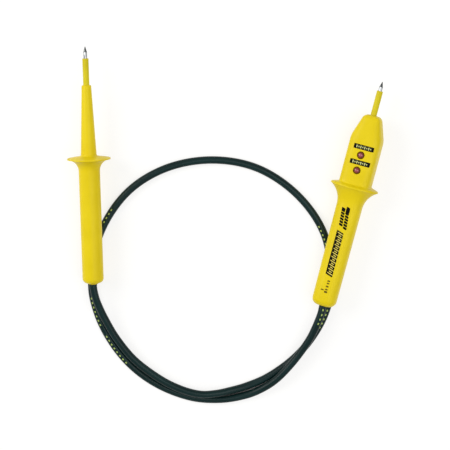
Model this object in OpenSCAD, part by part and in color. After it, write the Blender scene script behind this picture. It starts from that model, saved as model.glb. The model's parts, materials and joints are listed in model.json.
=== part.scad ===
// Two-pole voltage tester lying on a table: a round plain probe, a flat-faced indicator probe with two
// lamps, and the cord between them. X is across the picture, Y is up it, and Z is up from the table.
// Each probe is drawn in its own frame, with Y from the handle's base to the tip and Z out of its face.

/* [Plain probe] */
// Diameter of the round handle
plain_handle_d = 14.8; // [14:0.1:17]
// Length from the handle's base to the rim of the finger guard
plain_handle_l = 87.4; // [75:0.2:110]
// Rounding of the handle's base
plain_base_round = 3.3; // [2:0.1:3.4]
// Diameter of the round finger guard
plain_guard_d = 30.2; // [27:0.1:36]
// Length of the hollow flare that grows from the handle into the guard
plain_flare_l = 8.2; // [6:0.1:14]
// Angle at which that flare meets the guard's rim
plain_flare_turn = 86; // [70:1:88]
// How far the front of the guard rises from its rim to the root of the nose
plain_guard_rise = 1.3; // [1:0.1:4]
// Diameter of the nose at its root
plain_nose_root_d = 10.9; // [10:0.1:13]
// Fillet between the guard's front and the nose
plain_root_fillet = 1.6; // [1:0.1:2.5]
// Diameter of the nose at its front end
plain_nose_end_d = 6.7; // [6.4:0.1:8]
// Rounding of the nose's front end
plain_end_round = 0.8; // [0.4:0.1:1]
// Length of the nose from the guard to its front end
plain_nose_l = 49.4; // [44:0.2:65]
// Diameter of the bore through the handle
plain_bore_d = 7.6; // [7:0.1:8]
// Diameter of the bore through the nose
nose_bore_d = 5.2; // [5:0.1:5.4]
// Length of the taper between the two bores
bore_taper_l = 12; // [8:1:16]

/* [Finger guards] */
// Thickness of both guards at the rim
guard_edge = 0.8; // [0.5:0.1:1.2]

/* [Indicator handle] */
// Width of the handle at its base
handle_base_w = 17; // [16:0.1:20]
// Width of the handle where the flare begins
handle_w = 18; // [17:0.1:22]
// Thickness of the handle
handle_h = 16; // [15:0.1:18]
// Length from the handle's base to the rim of the finger guard
handle_l = 86.1; // [78:0.1:110]
// Rounding of the handle's base
base_round = 4.6; // [3:0.1:4.7]
// Squareness of the handle's section, where 2 is an ellipse
handle_square = 2.7; // [2.3:0.1:4]

/* [Indicator guard] */
// Width of the finger guard
guard_w = 33.9; // [29:0.1:40]
// Height of the finger guard
guard_h = 27; // [25:0.1:32]
// Squareness of the guard's outline, where 2 is an ellipse
guard_square = 2.3; // [2:0.1:3]
// Length of the flare that grows from the handle into the guard
flare_l = 13.5; // [10:0.5:18]
// Angle at which that flare meets the guard's rim
flare_turn = 62; // [40:1:80]
// How far the front of the guard runs from its rim to the body
guard_front_l = 2.8; // [2.4:0.1:4]

/* [Indicator body] */
// Width of the body
body_w = 22.3; // [21.5:0.1:26]
// Thickness of the body
body_h = 20.8; // [19.6:0.1:23]
// Length from the guard's rim to the shoulder of the nose
body_l = 35.6; // [34:0.1:45]
// Squareness of the body's section, where 2 is an ellipse
body_square = 4.2; // [3.6:0.1:6]
// Half length of the soft shoulder between body and nose
shoulder_round = 2.6; // [1:0.1:3]
// Length of the tapered nose
nose_l = 16.1; // [15:0.1:20]
// Width of the nose where its taper ends
nose_end_w = 11.7; // [11.4:0.1:15]
// Thickness of the nose where its taper ends
nose_end_h = 14.4; // [13:0.1:16]
// Squareness of the nose's section, where 2 is an ellipse
nose_square = 3.8; // [3.2:0.1:5]
// Rounding of the nose's front end
nose_round = 2.8; // [1.5:0.1:3]

/* [Shell construction] */
// Wall of the two housing shells
shell_wall = 2.1; // [1.8:0.1:2.4]
// Thickness of the end wall that the cord bush passes through
base_wall = 3; // [2:0.1:4]
// Thickness of the nose's end wall, which holds the sleeve
nose_wall = 4.5; // [3.5:0.1:5.5]
// Thickness of the cross walls inside the shells
rib_t = 1.4; // [1:0.1:2]
// Thickness of the tongue along the parting line
tongue_t = 0.9; // [0.6:0.1:1.1]
// Height of the tongue along the parting line
tongue_h = 1; // [0.6:0.1:1.5]
// Diameter of the pegs that join the shells
peg_d = 2.3; // [1.8:0.1:2.6]
// Length of each peg below the parting line
peg_l = 4; // [2.5:0.1:4.4]
// How much deeper than its peg each socket is
socket_room = 0.5; // [0.2:0.1:0.8]
// Diameter of the bosses that carry pegs and sockets
boss_d = 4; // [3.7:0.1:4.2]
// Distance of the handle's pegs from the middle
handle_peg_x = 4.2; // [3.8:0.1:4.4]
// Distance from the cord bush's cross wall to the first pegs
peg_from_rib = 20; // [10:1:28]
// Distance from the second pegs to the beginning of the flare
peg_from_flare = 8; // [3:0.5:14]
// Distance of the nose's pegs from the middle
nose_peg_x = 5.2; // [5:0.1:5.4]
// Distance from the shoulder to the nose's pegs
nose_peg_y = 5.5; // [4.8:0.1:6]
// Diameter of the posts that clamp the circuit board
post_d = 2.4; // [1.6:0.1:2.8]
// Distance from the posts to the board's long edges
post_margin = 0.2; // [0:0.1:0.4]
// Distance from the board's rear edge to the middle of its posts there
rear_post_y = 2.6; // [2:0.1:3]
// Distance from the board's front edge to the middle of its posts there
front_post_y = 3.6; // [2.5:0.1:4]
// Clearance around each round piece in its hole
fit_gap = 0.1; // [0.05:0.01:0.15]

/* [Contact tips] */
// Diameter of the bare metal
tip_d = 2.6; // [2.4:0.1:3.2]
// Bare length of the plain probe's tip
plain_tip_l = 8.3; // [6:0.1:14]
// Bare length of the indicator probe's tip
indicator_tip_l = 6.7; // [5.8:0.1:14]
// Length of the point's cone
tip_cone_l = 4; // [3:0.1:5]
// Diameter of the blunted point
point_d = 0.3; // [0.2:0.1:0.8]
// Diameter of the rod inside the sleeve
stem_d = 2.2; // [1.6:0.1:2.3]
// Diameter of the collar that stops the rod in the nose
collar_d = 4.8; // [4.6:0.1:4.9]
// Length of the collar
collar_l = 1.6; // [1:0.1:2.2]
// Diameter of the plain rod's solder cup
cup_d = 3.6; // [2.6:0.1:4.4]
// Length of the solder cup
cup_l = 6; // [5:0.5:8]
// Depth of the solder cup's bore
cup_bore_l = 4; // [3.5:0.1:4.5]
// Diameter of the indicator rod's tail behind the collar
tail_d = 2.6; // [1.8:0.1:2.6]
// Outer diameter of the insulating sleeve
sleeve_d = 4.3; // [4:0.1:4.5]
// Bevel round the sleeve's front edge
sleeve_bevel = 0.35; // [0.1:0.05:0.6]
// Length of the plain probe's sleeve in front of the nose
plain_sleeve_l = 18.4; // [12:0.1:30]
// Length of the indicator probe's sleeve in front of the nose
indicator_sleeve_l = 17.5; // [12:0.1:30]
// Length of the plain probe's sleeve inside the nose
sleeve_seat_l = 8; // [5:0.5:12]

/* [Cord and bushes] */
// Diameter of the cord
cord_d = 5.3; // [5:0.1:5.8]
// Diameter of the cord's insulated core
core_d = 1.9; // [1.4:0.1:2.2]
// Diameter of the bare conductor in the core
conductor_d = 0.9; // [0.5:0.1:1]
// Diameter of the lip where the cord leaves the plain probe
lip_d = 7; // [6:0.1:7.4]
// Height of that lip
lip_h = 0.7; // [0.3:0.1:2]
// Length of the plain probe's bush inside the handle
plug_l = 12; // [6:0.5:20]
// Diameter of the indicator bush's neck in the end wall
neck_d = 6; // [5.8:0.1:6.2]
// How far the indicator bush stands out of the end wall
neck_out = 0.3; // [0.1:0.1:1]
// Diameter of the indicator bush behind the end wall
bush_d = 10; // [8:0.1:10.4]
// Length of the indicator bush behind the end wall
bush_l = 6; // [4:0.5:12]
// Room round the core in the cross wall behind the bush
core_room = 1; // [0.3:0.1:1.4]

/* [Safety resistor] */
// Diameter of the plain probe's safety resistor
safety_d = 4; // [3:0.1:4.4]
// Length of the plain probe's safety resistor
safety_l = 11; // [8:0.5:14]
// Bare lead between the resistor and the cup or the splice
safety_lead = 2.5; // [1.5:0.1:3.5]
// How deep a lead sits in its cup or splice
lead_in = 3; // [2:0.1:3.4]
// Diameter of the crimp splice
splice_d = 3; // [2.6:0.1:4]
// Length of the crimp splice
splice_l = 7; // [5.5:0.5:9]
// Web between the two holes in the splice
splice_web = 0.6; // [0.4:0.1:1]

/* [Lamps] */
// Diameter of each lamp's lens
lens_d = 5; // [4.6:0.1:5.4]
// Diameter of the rim at each lamp's foot
lamp_rim_d = 5.8; // [5.6:0.1:6]
// Height of that rim
lamp_rim_h = 1; // [0.6:0.1:1.4]
// How far each dome stands out of the face
lamp_proud = 1.2; // [0.4:0.1:2.2]
// Distance from the guard's rim to the lower lamp
lamp_from_guard = 12.7; // [12.4:0.1:13.1]
// Distance between the two lamps
lamp_pitch = 10.8; // [9.5:0.1:11.5]
// Distance between the two leads of a lamp
lead_span = 2.54; // [2:0.01:3]
// How far a lamp's leads stand out behind the board
lead_below = 1.5; // [0.8:0.1:2]

/* [Circuit board] */
// Gap between the board's long edges and the walls beside it
board_side_gap = 1.45; // [1.2:0.05:1.6]
// Thickness of the board
board_t = 1.6; // [1:0.1:1.6]
// Height of the board's underside above the parting plane
board_lift = 1.4; // [1.4:0.1:1.8]
// Distance from the guard's rim to the board
board_from_guard = 6.2; // [5.7:0.1:6.5]
// How far the board runs past the shoulder
board_past_shoulder = 1.5; // [1:0.1:2]
// Diameter of the dropping resistors
resistor_d = 3.2; // [2.4:0.1:3.4]
// Length of the dropping resistors
resistor_l = 9; // [6:0.1:9.4]
// Gap between a resistor and the lamps' rims, sideways
resistor_room = 0.8; // [0.4:0.1:1]
// Diameter of the diodes
diode_d = 2.7; // [2:0.1:3]
// Length of the diodes
diode_l = 5.2; // [4:0.1:6]
// Distance from the board's long edges to the middle of the diodes
diode_from_side = 3.35; // [3.1:0.05:3.8]
// Distance from the board's front edge to the middle of the diodes
diode_from_end = 7.5; // [7.3:0.1:7.9]
// Diameter of the wire leads
lead_d = 0.7; // [0.5:0.05:0.8]
// Bare lead between a part's body and its bend
bend_l = 1.8; // [1.4:0.1:2]
// Gap under each part that lies along the board
part_gap = 0.3; // [0.1:0.05:0.6]
// How far a part's leads stand out of the board's far side
part_lead_out = 0.75; // [0.3:0.05:1]
// Distance from the board's rear edge to the end of the core's insulation
core_on_board = 0.8; // [0.2:0.1:1]
// How far the core's bare end stands out of the board
conductor_out = 0.4; // [0.2:0.1:0.8]

/* [Tip clip] */
// Thickness of the strap that holds the rod's tail
clip_t = 0.5; // [0.3:0.05:0.7]
// Length of the strap along the rod
clip_l = 4; // [3:0.1:4.5]
// Distance from the board's front edge to the strap
clip_from_end = 2; // [1:0.1:3]
// How far the rod's tail runs past the strap
tail_past_clip = 1; // [0.5:0.1:1.5]
// How far the strap's legs stand out of the board
clip_out = 0.8; // [0.4:0.1:1.2]
// Gap between the strap's legs and their slots
slot_gap = 0.1; // [0.05:0.01:0.2]

/* [Resting pose] */
// Turn of the plain probe to the left of straight up the picture
plain_turn = 1.3; // [-10:0.1:10]
// Turn of the indicator probe to the left, negative because it leans right
indicator_turn = -14.3; // [-25:0.1:-5]
// Roll of the indicator probe on the cord under its handle
indicator_roll = -14; // [-18:0.5:0]
// Gap between a handle and the cord that it lies on
rest_gap = 0.3; // [0.1:0.1:1]
// Place along the plain handle where the cord holds it up
plain_seat_y = 4; // [0:1:20]
// Place along the indicator handle where the cord holds it up
seat_y = 30; // [10:1:40]
// Straight length of the cord where it leaves the plain probe
plain_lead = 3.5; // [2:0.5:5]
// Straight length of the cord where it leaves the indicator probe
indicator_lead = 8; // [5:0.5:9]

/* [Hidden] */
$fn = 48;

yellow = [0.93, 0.81, 0.12];
steel = [0.78, 0.79, 0.80];
copper = [0.75, 0.48, 0.30];
lamp_red = [0.55, 0.07, 0.09];
cord_black = [0.07, 0.09, 0.09];
part_black = [0.12, 0.12, 0.12];
core_brown = [0.45, 0.25, 0.12];
resistor_tan = [0.75, 0.62, 0.45];
resistor_blue = [0.20, 0.45, 0.70];
board_green = [0.16, 0.42, 0.22];

// Where the middle of each handle's base lies in plan
plain_base = [-93, -74.2];
indicator_base = [68.6, -90.1];

// The cord's route between the two bushes: X, Y, and how many cord diameters it is lifted off the table.
// It leaves the plain probe on top of its own last turn, and climbs over its first one near the end.
cord_points = [
    [-91.5, -85.2, 1.76], [-89.2, -92, 1.46], [-85, -101.5, 1.1], [-77.2, -115.5, 0.78],
    [-64.7, -131, 0.7], [-47.1, -144.4, 0.76], [-31.9, -152, 0.87], [-18.2, -155.6, 0.91],
    [-6.6, -155.3, 0.72], [4.1, -153.5, 0.3], [15.2, -150.6, 0.02], [30.4, -143.9, 0],
    [47.5, -131.5, 0], [61.5, -115.6, 0], [71.5, -96.1, 0], [75.3, -73.7, 0], [69.6, -40.7, 0],
    [50.9, -13.5, 0], [22.9, 5.5, 0], [-9.5, 11.5, 0], [-42.3, 5.5, 0], [-69.8, -12, 0],
    [-88.6, -40.7, 0], [-94.9, -74.2, 0], [-91.1, -97.6, 0], [-80.7, -119.1, 0], [-65.7, -137.2, 0],
    [-46.6, -150.6, 0], [-24.3, -158.9, 0], [-3.5, -160.4, 0], [14.2, -157.4, 0.03],
    [26.3, -152.1, 0.33], [35.9, -145.1, 0.79], [44.5, -136, 1.08], [52.8, -125.2, 1.37],
    [60.5, -112.8, 1.76]];
cord_steps = 2;     // rings for each stretch of the route
cord_sides = 12;

section_steps = 28; // facets round half of the outer section
cavity_steps = 14;  // facets round half of the cavity's section
arc_steps = 6;
cut = 0.5;          // how far a cut runs past what it cuts
root = 0.5;         // how far a rib, boss, post or tongue is rooted in the wall

// Shares of the way along the guard's front, from its edge on, and of the way from its rim to the body
front_shares = [for (s = [[0, 0.06], [0.2, 0.3], [0.55, 0.72], [0.8, 0.93], [1, 1]])
    [mix(guard_edge / guard_front_l, 1, s[0]), s[1]]];

// Plain probe, along its axis from the base
plain_rim_y = plain_handle_l;
plain_root_y = plain_rim_y + guard_edge + plain_guard_rise;
plain_end_y = plain_root_y + plain_nose_l;
plain_stop_y = plain_end_y - sleeve_seat_l;
sleeve_hole_r = sleeve_d / 2 + fit_gap;
cup_y = plain_stop_y - collar_l - cup_l;
safety_front_y = cup_y - safety_lead;
splice_front_y = safety_front_y - safety_l - safety_lead;
splice_core_y = splice_front_y - lead_in - splice_web;

// Indicator probe, along its axis from the base
rim_y = handle_l;
front_y = rim_y + guard_front_l;
shoulder_y = rim_y + body_l;
end_y = shoulder_y + nose_l;
cavity_end_y = end_y - nose_wall;
bush_end_y = base_wall + bush_l;
collar_y = cavity_end_y - collar_l;
peg_places = [
    for (side = [-1, 1]) each [
        [side * handle_peg_x, bush_end_y + rib_t + peg_from_rib],
        [side * handle_peg_x, rim_y - flare_l - peg_from_flare],
        [side * nose_peg_x, shoulder_y + nose_peg_y]]];
board_w = body_w - 2 * (shell_wall + board_side_gap);
board_y0 = rim_y + board_from_guard;
board_y1 = shoulder_y + board_past_shoulder;
board_low = board_lift;
board_top = board_low + board_t;
lower_lamp_y = rim_y + lamp_from_guard;
upper_lamp_y = lower_lamp_y + lamp_pitch;
dome_z = body_h / 2 + lamp_proud - lens_d / 2;
post_x = board_w / 2 - post_d / 2 - post_margin;
clip_y = board_y1 - clip_from_end - clip_l;
tail_y = clip_y - tail_past_clip;
resistor_y = (lower_lamp_y + upper_lamp_y) / 2;
resistor_x = lamp_rim_d / 2 + resistor_d / 2 + resistor_room;
diode_x = board_w / 2 - diode_from_side;
diode_y = board_y1 - diode_from_end;
core_end_y = board_y0 + core_on_board;

// Resting pose: both guards touch the table, and both handles lie on the cord
plain_axis_low = cord_d + rest_gap + plain_handle_d / 2;
plain_pitch = asin((plain_guard_d / 2 - plain_axis_low) / (plain_rim_y - plain_seat_y));
plain_z = plain_guard_d / 2 * cos(plain_pitch) - plain_rim_y * sin(plain_pitch);
guard_power = guard_square / (guard_square - 1);
guard_low = pow(pow(guard_w / 2 * sin(abs(indicator_roll)), guard_power)
    + pow(guard_h / 2 * cos(indicator_roll), guard_power), 1 / guard_power);
axis_low = cord_d / 2 + (cord_d / 2 + rest_gap + handle_h / 2) / cos(indicator_roll);
indicator_pitch = asin((guard_low - axis_low) / (rim_y - seat_y));
indicator_z = guard_low - rim_y * sin(indicator_pitch);

// Direction of a probe's axis once it is turned and pitched
function axis_of(turn, pitch) = [-sin(turn) * cos(pitch), cos(turn) * cos(pitch), sin(pitch)];
plain_axis = axis_of(plain_turn, plain_pitch);
indicator_axis = axis_of(indicator_turn, indicator_pitch);
plain_exit = [plain_base.x, plain_base.y, plain_z] - lip_h * plain_axis;
indicator_exit = [indicator_base.x, indicator_base.y, indicator_z] - neck_out * indicator_axis;
route = concat([plain_exit, plain_exit - plain_lead * plain_axis],
    [for (p = cord_points) [p.x, p.y, (p.z + 0.5) * cord_d]],
    [indicator_exit - indicator_lead * indicator_axis, indicator_exit]);

// A point between a and b
function mix(a, b, t) = a + (b - a) * t;

// Flare from a handle to a guard: t is 0 at the handle and 1 at the rim, giving [along, outward] shares
function flare(t, turn) = [sin(turn * t) / sin(turn), (1 - cos(turn * t)) / (1 - cos(turn))];

// Points of an arc from angle a0 to a1 in steps
function arc(centre, r, a0, a1, steps) =
    [for (i = [0:steps]) centre + r * [cos(mix(a0, a1, i / steps)), sin(mix(a0, a1, i / steps))]];

// One station of a loft: [place along the axis, half width, half height, squareness]
function grown(s, by) = [s[0], s[1] + by, s[2] + by, s[3]];

// Stations of the straight handle and of the nose's taper at a place along the axis
function handle_at(y) = let (t = y / (rim_y - flare_l))
    [y, mix(handle_base_w, handle_w, t) / 2, handle_h / 2, handle_square];
function nose_at(y) = let (t = (y - shoulder_y) / nose_l)
    [y, mix(body_w, nose_end_w, t) / 2, mix(body_h, nose_end_h, t) / 2, nose_square];
function straight_at(y) = y > shoulder_y ? nose_at(y) : handle_at(y);

// Station in the blend across the shoulder, with u from 0 to 1
function shoulder_at(u) = let (y = shoulder_y + shoulder_round * (2 * u - 1),
    drop = shoulder_round * u * u / nose_l)
    [y, body_w / 2 - (body_w - nose_end_w) * drop / 2, body_h / 2 - (body_h - nose_end_h) * drop / 2,
    mix(body_square, nose_square, u)];

base_stations = [for (i = [0:arc_steps]) let (a = 90 * i / arc_steps)
    grown(handle_at(base_round * (1 - cos(a))), -base_round * (1 - sin(a)))];
flare_stations = [for (i = [0:2 * arc_steps]) let (f = flare(i / (2 * arc_steps), flare_turn))
    [rim_y - flare_l * (1 - f[0]), mix(handle_w, guard_w, f[1]) / 2, mix(handle_h, guard_h, f[1]) / 2,
    mix(handle_square, guard_square, f[1])]];
front_stations = [for (f = front_shares)
    [mix(rim_y, front_y, f[0]), mix(guard_w, body_w, f[1]) / 2, mix(guard_h, body_h, f[1]) / 2,
    mix(guard_square, body_square, f[1])]];
shoulder_stations = [for (i = [0:4]) shoulder_at(i / 4)];
nose_stations = [for (i = [0:arc_steps]) let (a = 90 * i / arc_steps)
    grown(nose_at(end_y - nose_round * (1 - sin(a))), -nose_round * (1 - cos(a)))];
outer_stations = concat(base_stations, flare_stations, front_stations, shoulder_stations, nose_stations);

// The hollow inside: handle, then the widening under the guard, then the body and the nose
cavity_stations = [for (s = [
    handle_at(base_wall),
    handle_at(rim_y - flare_l),
    [rim_y - flare_l / 3, handle_w / 2, handle_h / 2, handle_square],
    [front_y, body_w / 2, body_h / 2, body_square],
    [shoulder_y - shoulder_round, body_w / 2, body_h / 2, body_square],
    nose_at(shoulder_y + shoulder_round),
    nose_at(cavity_end_y)]) grown(s, -shell_wall)];

// Signed power, which draws a superellipse from sines and cosines
function spow(v, e) = sign(v) * pow(abs(v), e);
function round_point(s, a) = [s[1] * spow(cos(a), 2 / s[3]), s[0], s[2] * spow(sin(a), 2 / s[3])];

// Section of a station from angle a0 to a1
function section(s, a0, a1, steps) = [for (i = [0:steps]) round_point(s, mix(a0, a1, i / steps))];

// Half height of a station's section at a distance from the middle
function height_at(s, x) = s[2] * pow(1 - pow(abs(x) / s[1], s[3]), 1 / s[3]);

// Solid through a list of rings, each with the same number of points
module rings_solid(rings) {
    n = len(rings[0]);
    m = len(rings);
    points = [for (ring = rings) each ring];
    sides = [for (i = [0:m - 2], j = [0:n - 1]) let (k = (j + 1) % n)
        each [[i * n + j, (i + 1) * n + k, (i + 1) * n + j], [i * n + j, i * n + k, (i + 1) * n + k]]];
    ends = [[for (j = [n - 1:-1:0]) j], [for (j = [0:n - 1]) (m - 1) * n + j]];
    polyhedron(points, concat(sides, ends), convexity = 6);
}

// Half of a loft, above the parting line when side is 1 and below it when side is -1
module half_loft(stations, side, steps) {
    from = side > 0 ? 0 : 180;
    rings_solid([for (s = stations) section(s, from, from + 180, steps)]);
}

// Whole loft, closed all round
module full_loft(stations, steps) {
    rings_solid([for (s = stations) [for (i = [0:2 * steps - 1]) round_point(s, 180 * i / steps)]]);
}

// Cylinder along a probe's axis, from y0 to y1
module along(y0, y1, r) {
    translate([0, y0, 0]) rotate([-90, 0, 0]) cylinder(h = y1 - y0, r = r);
}

// Cylinder square to a probe's face at x and y, between heights z0 and z1
module upright(x, y, z0, z1, r) {
    translate([x, y, min(z0, z1)]) cylinder(h = abs(z1 - z0), r = r);
}

// Solid turned about a probe's axis from a profile of [radius, place along the axis]
module turned(profile) {
    rotate([-90, 0, 0]) rotate_extrude() polygon(profile);
}

// Places a probe's pieces on the table
module plain_place() {
    translate([plain_base.x, plain_base.y, plain_z]) rotate([0, 0, plain_turn])
        rotate([plain_pitch, 0, 0]) children();
}

module indicator_place() {
    translate([indicator_base.x, indicator_base.y, indicator_z]) rotate([0, 0, indicator_turn])
        rotate([indicator_pitch, 0, 0]) rotate([0, indicator_roll, 0]) children();
}

// Pointed rod: back part from back_y to the collar, collar, stem inside the sleeve, bare pin and cone
module tip_rod(back_y, stop_y, sleeve_end_y, tip_l, back_r) {
    collar_back_y = stop_y - collar_l;
    point_y = sleeve_end_y + tip_l;
    turned([[0, back_y], [back_r, back_y], [back_r, collar_back_y], [collar_d / 2, collar_back_y],
        [collar_d / 2, stop_y], [stem_d / 2, stop_y], [stem_d / 2, sleeve_end_y], [tip_d / 2, sleeve_end_y],
        [tip_d / 2, point_y - tip_cone_l], [point_d / 2, point_y], [0, point_y]]);
}

// Insulating tube, bevelled at its front edge
module sleeve(y0, y1) {
    r = sleeve_d / 2;
    difference() {
        turned([[0, y0], [r, y0], [r, y1 - sleeve_bevel], [r - sleeve_bevel, y1], [0, y1]]);
        along(y0 - cut, y1 + cut, stem_d / 2 + fit_gap);
    }
}

module plain_barrel() {
    handle_r = plain_handle_d / 2;
    guard_r = plain_guard_d / 2;
    root_r = plain_nose_root_d / 2;
    end_r = plain_nose_end_d / 2;
    taper_y = plain_rim_y - bore_taper_l / 2;
    profile = concat([[0, 0]],
        arc([handle_r - plain_base_round, plain_base_round], plain_base_round, -90, 0, arc_steps),
        [for (i = [0:2 * arc_steps]) let (f = flare(i / (2 * arc_steps), plain_flare_turn))
            [mix(handle_r, guard_r, f[1]), plain_rim_y - plain_flare_l * (1 - f[0])]],
        arc([guard_r - guard_edge / 2, plain_rim_y + guard_edge / 2], guard_edge / 2, 0, 75, 4),
        arc([root_r + plain_root_fillet, plain_root_y + plain_root_fillet], plain_root_fillet,
            -100, -180, arc_steps),
        arc([end_r - plain_end_round, plain_end_y - plain_end_round], plain_end_round, 5, 90, 4),
        [[0, plain_end_y]]);
    bore = [[0, -cut], [plain_bore_d / 2, -cut], [plain_bore_d / 2, taper_y],
        [nose_bore_d / 2, taper_y + bore_taper_l], [nose_bore_d / 2, plain_stop_y],
        [sleeve_hole_r, plain_stop_y], [sleeve_hole_r, plain_end_y + cut], [0, plain_end_y + cut]];
    color(yellow) plain_place() difference() {
        turned(profile);
        turned(bore);
    }
}

module plain_sleeve() {
    color(yellow) plain_place() sleeve(plain_stop_y, plain_end_y + plain_sleeve_l);
}

module plain_tip() {
    color(steel) plain_place() difference() {
        tip_rod(cup_y, plain_stop_y, plain_end_y + plain_sleeve_l, plain_tip_l, cup_d / 2);
        along(cup_y - cut, cup_y + cup_bore_l, lead_d / 2 + fit_gap);
    }
}

module plain_resistor() {
    color(resistor_tan) plain_place() {
        along(safety_front_y - safety_l, safety_front_y, safety_d / 2);
        along(splice_front_y - lead_in, cup_y + lead_in, lead_d / 2);
    }
}

module plain_splice() {
    color(copper) plain_place() difference() {
        along(splice_front_y - splice_l, splice_front_y, splice_d / 2);
        along(splice_front_y - lead_in, splice_front_y + cut, lead_d / 2 + fit_gap);
        along(splice_front_y - splice_l - cut, splice_core_y, core_d / 2 + fit_gap);
    }
}

module plain_core() {
    color(core_brown) plain_place() along(-lip_h, splice_core_y, core_d / 2);
}

module plain_cord_bush() {
    color(yellow) plain_place() difference() {
        union() {
            along(0, plug_l, plain_bore_d / 2 - fit_gap);
            along(-lip_h, 0, lip_d / 2);
        }
        along(-lip_h - cut, plug_l + cut, core_d / 2 + fit_gap);
    }
}

// Everything round that passes through the shells' walls
module shell_holes() {
    along(-cut, base_wall + cut, neck_d / 2 + fit_gap);
    along(cavity_end_y - cut, end_y + cut, sleeve_hole_r);
}

// Cross walls that trap the cord bush and the tip's collar, on one side of the parting line
module cross_ribs(side) {
    rib_y = collar_y - rib_t;
    difference() {
        union() {
            cross_rib(bush_end_y, side);
            cross_rib(rib_y, side);
        }
        along(bush_end_y - cut, bush_end_y + rib_t + cut, core_d / 2 + core_room);
        along(rib_y - cut, rib_y + rib_t + cut, tail_d / 2 + fit_gap);
    }
}

module cross_rib(y, side) {
    from = side > 0 ? 0 : 180;
    ring = section(grown(straight_at(y), root - shell_wall), from, from + 180, cavity_steps);
    translate([0, y + rib_t, 0]) rotate([90, 0, 0])
        linear_extrude(rib_t) polygon([for (p = ring) [p.x, p.z]]);
}

// Bosses that reach from the parting line into the wall, on one side
module bosses(side) {
    for (p = peg_places) {
        wall_z = height_at(grown(straight_at(p.y), -shell_wall), p.x);
        upright(p.x, p.y, 0, side * (wall_z + root), boss_d / 2);
    }
}

// Round pieces at all the bosses, between heights z0 and z1
module at_bosses(z0, z1, r) {
    for (p = peg_places) upright(p.x, p.y, z0, z1, r);
}

// Posts that clamp the circuit board, from the board's face at z0 into the shell's wall at z1
module board_posts(z0, z1) {
    for (y = [board_y0 + rear_post_y, board_y1 - front_post_y], x = [-post_x, post_x])
        upright(x, y, z0, z1, post_d / 2);
}

// Band round the cavity's edge at the parting line, t thick
module edge_band(z0, z1, t) {
    difference() {
        intersection() {
            full_loft([for (s = cavity_stations) grown(s, t)], cavity_steps);
            translate([-body_w, 0, z0]) cube([2 * body_w, end_y, z1 - z0]);
        }
        full_loft(cavity_stations, cavity_steps);
    }
}

// Walls of one shell, without anything inside
module shell_walls(side) {
    difference() {
        half_loft(outer_stations, side, section_steps);
        full_loft(cavity_stations, cavity_steps);
    }
}

module front_shell() {
    color(yellow) indicator_place() difference() {
        union() {
            shell_walls(1);
            edge_band(-tongue_h, root, tongue_t);
            cross_ribs(1);
            bosses(1);
            board_posts(board_top, body_h / 2 - shell_wall + root);
            at_bosses(-peg_l, root, peg_d / 2);
        }
        shell_holes();
        for (y = [lower_lamp_y, upper_lamp_y]) upright(0, y, board_top, body_h, lens_d / 2 + fit_gap);
    }
}

module rear_shell() {
    color(yellow) indicator_place() difference() {
        union() {
            shell_walls(-1);
            cross_ribs(-1);
            bosses(-1);
            board_posts(board_low, -body_h / 2 + shell_wall - root);
        }
        edge_band(-tongue_h - fit_gap, cut, tongue_t + fit_gap);
        shell_holes();
        at_bosses(-peg_l - socket_room, cut, peg_d / 2 + fit_gap);
    }
}

module indicator_sleeve() {
    color(yellow) indicator_place() sleeve(cavity_end_y, end_y + indicator_sleeve_l);
}

module indicator_tip() {
    color(steel) indicator_place()
        tip_rod(tail_y, cavity_end_y, end_y + indicator_sleeve_l, indicator_tip_l, tail_d / 2);
}

// Strap round the rod's tail, with two legs soldered into slots of the board
module tip_clip() {
    inner = tail_d / 2 + fit_gap;
    color(copper) indicator_place() translate([0, clip_y + clip_l, 0]) rotate([90, 0, 0])
        linear_extrude(clip_l) {
            difference() {
                circle(r = inner + clip_t);
                circle(r = inner);
                translate([-2 * inner, 0]) square([4 * inner, 2 * inner]);
            }
            for (x = [-inner - clip_t, inner])
                translate([x, -clip_t / 4]) square([clip_t, board_top + clip_out + clip_t / 4]);
        }
}

module circuit_board() {
    leg_x = tail_d / 2 + fit_gap + clip_t / 2;
    color(board_green) indicator_place() difference() {
        translate([-board_w / 2, board_y0, board_low]) cube([board_w, board_y1 - board_y0, board_t]);
        for (y = [lower_lamp_y, upper_lamp_y], x = [-lead_span / 2, lead_span / 2])
            board_hole(x, y, lead_d);
        for (side = [-1, 1]) {
            for (end = [-1, 1]) {
                board_hole(side * resistor_x, resistor_y + end * (resistor_l / 2 + bend_l), lead_d);
                board_hole(side * diode_x, diode_y + end * (diode_l / 2 + bend_l), lead_d);
            }
            translate([side * leg_x, clip_y + clip_l / 2, board_low])
                cube([clip_t + 2 * slot_gap, clip_l + 2 * slot_gap, 3 * board_t], center = true);
        }
        board_hole(0, core_end_y + bend_l, conductor_d);
    }
}

module board_hole(x, y, d) {
    upright(x, y, board_low - cut, board_top + cut, d / 2 + fit_gap);
}

// Lamp on the board: rim at its foot, straight lens and dome
module lamp(y) {
    color(lamp_red) indicator_place() {
        upright(0, y, board_top, board_top + lamp_rim_h, lamp_rim_d / 2);
        upright(0, y, board_top, dome_z, lens_d / 2);
        translate([0, y, dome_z]) intersection() {
            sphere(r = lens_d / 2);
            cylinder(h = lens_d, r = lens_d);
        }
    }
}

module upper_led() {
    lamp(upper_lamp_y);
}

module lower_led() {
    lamp(lower_lamp_y);
}

module led_leads() {
    color(steel) indicator_place()
        for (y = [lower_lamp_y, upper_lamp_y], x = [-lead_span / 2, lead_span / 2])
            upright(x, y, board_low - lead_below, board_top, lead_d / 2);
}

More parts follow.
